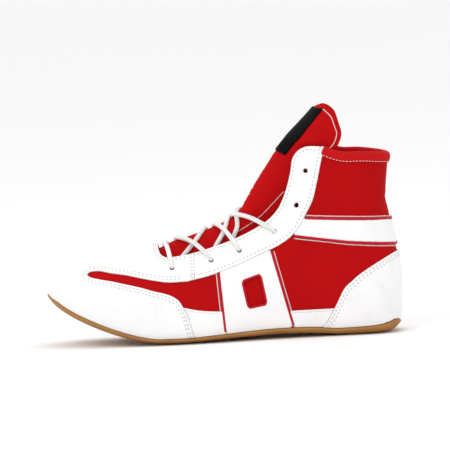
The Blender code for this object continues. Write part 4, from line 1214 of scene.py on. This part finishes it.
def foxing_lines(side):
    """The front strip's outline and the rear one's, each with its upper edge first."""
    saddle_front, _, saddle_rear, _ = saddle_lines(side)
    top = edge(FOXING_TOP, side)
    front = (top, beyond(saddle_front, top[-1]),
             sole_edge(side, VAMP_REAR[0][0], SADDLE[3][0], SOLE_CLEAR)[::-1],
             edge(VAMP_REAR, side)[:SPAN * 3 + 1])
    foot, head = np.array(SADDLE[2]), np.array(SADDLE[1])
    low, high, wanted = (side_view(*mark)[1] for mark in (foot, head, COUNTER_FRONT[3]))
    shelf = edge([foot + (head - foot) * (wanted - low) / (high - low), COUNTER_FRONT[3]], side)
    back = (shelf, edge(COUNTER_FRONT, side)[:SPAN * 3 + 1][::-1],
            sole_edge(side, SADDLE[2][0], COUNTER_FRONT[0][0], SOLE_CLEAR)[::-1],
            beyond(saddle_rear, shelf[0]))
    return front, back


def make_foxings(side, word):
    """The low strips before and behind a side panel."""
    for place, lines in zip(("front", "rear"), foxing_lines(side)):
        leather(f"foxing_{place}_{word}", joined(*lines))


# Half the throat's breadth, as a turn, at its sections
THROAT_HALF = np.array([(section, 0.5 - turn_at(section, height, -1))
                        for section, height in THROAT if height < 1])


def tongue_offset(places):
    """The ridge's offset in the middle of the throat, easing to the flank's at its edge."""
    sections, ridges, flanks = np.array(EASE).T
    ridge, flank = (np.interp(places[..., 0], sections, column) for column in (ridges, flanks))
    half = np.interp(places[..., 0], *THROAT_HALF.T)
    reach = np.minimum(np.abs(places[..., 1] - 0.5) / half, 1.0)
    return flank + (ridge - flank) * np.cos(reach * math.pi / 2) ** 2


def tongue_line():
    """The tongue's edge, from its root on the lateral side over the top to the medial root."""
    lateral, medial = (edge(TONGUE_SIDE, side, offset=tongue_offset)[::-1] for side in SIGNS)
    return np.concatenate([lateral, medial[::-1][1:]])


def make_tongue():
    """The padded tongue, its root closed straight across."""
    line = tongue_line()
    item = cut_sheet("tongue_textile", joined(line, bridge(line[-1], line[0], 30)),
                     lambda p: tongue_offset(p) - TONGUE_WALL, tongue_offset, rounding=0.0012, both=True)
    dress(item, tongue_cloth(), "red_textile", "tongue")


def make_label():
    """A plain patch over the tongue's ridge."""
    lateral, medial = (edge(LABEL_SIDE, side, offset=tongue_offset) for side in SIGNS)
    head, foot = bridge(lateral[-1], medial[-1], 20), bridge(medial[0], lateral[0], 20)
    item = cut_sheet("label_patch", joined(lateral, head, medial[::-1], foot),
                     lambda p: tongue_offset(p) + 0.0002, lambda p: tongue_offset(p) + 0.0012,
                     rounding=0.0005, spacing=0.0022)
    dress(item, black_label(), "label", "tongue_label")


# The tape's profile: depths below the collar's edge, and offsets from the form
TAPE_FOLD = [(0.0078, 0.0003), (0.0076, 0.0010), (0.0066, 0.0014), (0.0050, 0.0018), (0.0034, 0.0019),
             (0.0018, 0.0016), (0.0006, 0.0010), (-0.0002, 0.0002), (-0.0006, -0.0010),
             (-0.0002, -0.0022), (0.0006, -0.0030), (0.0018, -0.0036), (0.0034, -0.0038),
             (0.0050, -0.0036), (0.0066, -0.0032), (0.0076, -0.0028), (0.0078, -0.0022)]


def make_binding():
    """Padded tape folded over the collar: a profile of depths and offsets swept along the edge."""
    line = even(whole_collar(), 0.0016)
    fold = np.array(TAPE_FOLD)
    rings = [skin(aside(line, -depth), offset) for depth, offset in fold]
    vertices, faces = sweep(np.stack(rings, axis=1))
    item = new_object("collar_tape", vertices, faces, grid(run_of(form_at(line)), run_of(fold)))
    dress(item, binding_tape(), "red_binding", "collar_binding")


# The lace
BAR_SECTION = 7.15
# Each crossing: where its strands leave the eyestays, and where the strand to the medial side
# and the one to the lateral side pass over the tongue's ridge, all as sections
Crossing = namedtuple("Crossing", "leave outward inward")
CROSSINGS = [Crossing(7.75, 8.77, 7.65), Crossing(9.05, 9.88, 9.18), Crossing(9.90, 10.45, 10.02)]


def lace_route():
    """The whole lace, as stops of section, turn, offset and radius.

    A bar lies over the throat's front. From inside each eyelet a strand comes out under the
    eyestay's edge, goes over the tongue's ridge and the other eyestay's edge, and in at the
    next eyelet. The two strands of a pair cross on the tongue's lateral flank.
    """
    seat = FACE + LACE_RADIUS * 0.95
    under = -UPPER_WALL - LACE_RADIUS - 0.0002

    def half(section):
        return float(np.interp(section, *THROAT_HALF.T))

    def stop(section, turn, offset, size=1.0):
        return (section, turn, offset, LACE_RADIUS * size)

    def crest(section, turn=0.5):
        """Lying on the tongue."""
        return float(tongue_offset(np.array([[section, turn]]))[0]) + LACE_RADIUS * 0.85

    def over(crossing, mark, side):
        """From the ridge straight over the eyestay's edge and in at an eyelet."""
        hole = turn_at(mark[0], mark[1], side)
        ways = np.linspace(0, 1, 101)
        sections = crossing + (mark[0] - crossing) * ways
        outside = np.abs(hole - 0.5) * ways >= [half(section) for section in sections]
        rim = float(ways[outside][0])
        top = crest(crossing)
        stops = [(0.0, top), (rim * 0.5, (top + seat) / 2 + 0.0002), (rim, seat + 0.0003),
                 ((rim + 0.92) / 2, seat), (0.92, seat - 0.0003)]
        return [stop(crossing + (mark[0] - crossing) * way, 0.5 + (hole - 0.5) * way, offset)
                for way, offset in stops] + [stop(mark[0], hole, 0.0002, 0.95)]

    def emerge(mark, leave, crossing, side):
        """From inside an eyelet, out under the eyestay's edge and up the tongue's flank."""
        hole = turn_at(mark[0], mark[1], side) - 0.5
        middle = (leave + crossing) / 2
        turn = 0.5 + side * half(middle) * 0.55
        return [stop(mark[0] + 0.02, 0.5 + hole * 0.88, under, 0.95),
                stop(leave, 0.5 + side * half(leave), under - 0.0003),
                stop(middle, turn, crest(middle, turn) + 0.0006)]

    halves = []
    for side in SIGNS:
        run = over(BAR_SECTION, EYELETS[0], side)
        for number, crossing in enumerate(CROSSINGS):
            ridge = crossing.outward if side < 0 else crossing.inward
            run += emerge(EYELETS[number], crossing.leave, ridge, side)
            side = -side
            run += over(ridge, EYELETS[number + 1], side)
        tail = EYELETS[LACED - 1]
        run.append(stop(tail[0] + 0.12, 0.5 + (turn_at(*tail, side) - 0.5) * 1.25, under - 0.0004))
        halves.append(run)
    lateral, medial = halves
    return np.array(lateral[::-1] + medial[1:])


LACE_SIDES = 14


def make_lace():
    """A round cord along the route, its points evenly spaced."""
    route = lace_route()
    points = skin(route[:, :2], route[:, 2])
    whole = flow(np.concatenate([points, route[:, 3:]], axis=1), 14)
    run = run_of(whole[:, :3])
    ways = np.arange(0, run[-1], 0.0009)
    whole = rows_at(ways, run, whole)
    vertices, faces = sweep(round_rings(whole[:, :3], whole[:, 3], LACE_SIDES))
    item = new_object("lace_cord", vertices, faces, grid(ways, angles(LACE_SIDES)))
    dress(item, white_lace(), "lace", "lace_bar", "lace_cross_1", "lace_cross_2", "lace_cross_3")


# Seams and trims
def aside(line, distance):
    """A line of places moved on the form to the left of its direction."""
    return moved(line, np.gradient(form_at(line), axis=0), distance)


def trim(line, start, end):
    """The part of a line between two shares of its length."""
    line = even(line, TRIM_STEP)
    first = int(len(line) * start)
    return line[first:max(int(len(line) * end), first + 2)]


TRIM_STEP = 0.001
SUNK = 0.00004  # how far above the leather's face a stitch's middle lies


def make_stitching():
    """Rows of stitches, each inset from an edge and kept short of its ends by shares of it."""
    grey, fine = [], []
    for side in SIGNS:
        slit = even(edge(VAMP_REAR + SLIT_NOSE[1:] + VAMP_LOWER[1:], side), TRIM_STEP)
        start, lower, end, throat = eyestay_edges(side)
        mouth, counter = mouth_edge(side), edge(COUNTER_FRONT, side)
        rows = [(slit, 0.0022, 0.01, 0.965), (slit, 0.0042, 0.01, 0.965),
                (lower, 0.0028, 0.01, 0.98), (throat, 0.0028, 0.01, 0.98), (end, 0.0028, 0.1, 0.85),
                (start, 0.0018, 0.06, 0.94), (mouth, -0.0018, 0.04, 0.94),
                (start, 0.0036, 0.06, 0.94), (mouth, -0.0036, 0.04, 0.94),
                (counter, -0.0020, 0.02, 0.99), (counter, -0.0042, 0.02, 0.99)]
        grey += [trim(aside(line, -inset * side), first, last) for line, inset, first, last in rows]
        fine += [trim(aside(lines[0], 0.0016 * side), 0.04, 0.96) for lines in foxing_lines(side)]
    dress(stitches("leather_stitching", grey, FACE + SUNK), GREY_THREAD, "white_leather")
    dress(stitches("foxing_stitching", fine, FACE + SUNK, 0.0024, 0.0014, 0.00020), GREY_THREAD,
          "white_leather")
    tape = aside(even(whole_collar(), TRIM_STEP), -0.0070)
    dress(stitches("tape_stitching", [tape], 0.0013, 0.0026, 0.0019, 0.00022), CREAM_THREAD, "red_binding")


def make_tongue_seam():
    """Fine cords: round the tongue near its edge, on both faces, and along its two seams."""
    hem = aside(even(tongue_line(), TRIM_STEP), 0.0040)
    lift = tongue_offset(hem)
    cords = [(hem, height, 0.00036) for height in (lift + 0.0001, lift - TONGUE_WALL - 0.0001)]
    for side in SIGNS:
        line = even(edge(TONGUE_SEAM, side, offset=tongue_offset), TRIM_STEP)
        cords.append((line, tongue_offset(line), 0.00030))
    parts = [sweep(round_rings(skin(line, height), radius, 6)) for line, height, radius in cords]
    dress(united("tongue_seam", parts), CREAM_THREAD, "red_textile")


PIPING_SEAT = FACE - 0.0006


def make_piping():
    """Crimson cord half sunk along the side pieces' edges, and a fine pale line beyond it."""
    cords, lines = [], []

    def pipe(line, way):
        line = even(line, TRIM_STEP)
        cords.append(sweep(strip_rings(aside(line, 0.0007 * way), PIPING_SEAT, 0.0012, 0.0009)))
        lines.append(sweep(strip_rings(aside(line, 0.0024 * way), 0.0001, 0.0005, 0.0004, 6)))

    for side in SIGNS:
        front, _, rear, _ = saddle_lines(side)
        pipe(trim(front, 0.02, 0.985), side)
        pipe(trim(rear, 0.015, 0.98), side)
        rings = strip_rings(window_loop(side), PIPING_SEAT, 0.0011, 0.0009, loop=True)
        cords.append(sweep(rings, loop=True))
    for (lateral, medial), way in zip(band_edges(), SIGNS):
        pipe(np.concatenate([lateral, medial[::-1][1:]]), way)
    dress(united("crimson_piping", cords), crimson_piping(), "red_binding")
    dress(united("pale_edging", lines), CREAM_THREAD, "white_leather")


# Floor, lights and camera
FLOOR_REACH = 14.0
FLOOR_LEVEL = -0.00015


def make_stage():
    """A pale level floor, wide enough to fill every view's background."""
    steps = np.linspace(-FLOOR_REACH, FLOOR_REACH, 15)
    places = np.insert(grid(steps, steps)[:, ::-1], 2, FLOOR_LEVEL, axis=1)
    floor = new_object("pale_floor", places, quads(len(steps), len(steps), wrapped=False))
    f = Finish("pale_floor", Specular_IOR_Level=0.05)
    f.feed("Base Color", (0.93, 0.93, 0.93, 1.0))
    f.feed("Roughness", 0.95)
    floor.data.materials.append(f.material)


def area_light(name, place, aim, size, power):
    """A square lamp at a place, turned to face its aim."""
    lamp = bpy.data.lights.new(name, "AREA")
    lamp.size = size
    lamp.energy = power
    item = bpy.data.objects.new(name, lamp)
    item.location = place
    item.rotation_euler = (Vector(aim) - Vector(place)).to_track_quat("-Z", "Y").to_euler()
    bpy.context.scene.collection.objects.link(item)


def make_lights():
    """An even white surround, with a weak key and a weak lamp above for soft shadows."""
    area_light("key", (-0.9, -1.3, 1.5), (-0.1, 0.0, 0.07), 1.0, 8.0)
    area_light("top", (0.1, 0.2, 1.9), (-0.1, 0.0, 0.05), 1.2, 4.0)
    world = bpy.data.worlds.new("studio")
    world.use_nodes = True
    surround = world.node_tree.nodes["Background"]
    surround.inputs["Color"].default_value = (1.0, 1.0, 1.0, 1.0)
    surround.inputs["Strength"].default_value = 1.0
    bpy.context.scene.world = world
    bpy.context.scene.view_settings.view_transform = "Standard"


ELEVATION = math.radians(4.4)
ROLL = math.radians(2.74)
VIEW_WIDTH = 0.351
DISTANCE = 5.0
AIM = Vector((-0.0944, -0.030, 0.0911))
SENSOR = 36.0


def make_camera():
    """The photograph's view: square on to the lateral side, rolled so that the floor rises to the right."""
    back = Vector((0.0, -math.cos(ELEVATION), math.sin(ELEVATION)))
    right = Vector((1.0, 0.0, 0.0))
    up = back.cross(right)
    turned_right = right * math.cos(ROLL) - up * math.sin(ROLL)
    turned_up = right * math.sin(ROLL) + up * math.cos(ROLL)
    camera = bpy.data.cameras.new("photo_view")
    camera.sensor_width = SENSOR
    camera.lens = SENSOR * DISTANCE / VIEW_WIDTH
    camera.clip_end = 20.0
    item = bpy.data.objects.new("photo_view", camera)
    turn = Matrix((turned_right, turned_up, back)).transposed().to_4x4()
    item.matrix_world = Matrix.Translation(AIM + back * DISTANCE) @ turn
    bpy.context.scene.collection.objects.link(item)
    bpy.context.scene.camera = item


make_camera()
make_lights()
make_stage()
make_upper()
make_outsole()
make_insole()
make_vamp()
make_counter()
make_band()
for side, word in zip(SIGNS, ("lateral", "medial")):
    make_eyestay(side, word)
    make_saddle(side, word)
    make_foxings(side, word)
make_tongue()
make_label()
make_binding()
make_lace()
make_stitching()
make_tongue_seam()
make_piping()
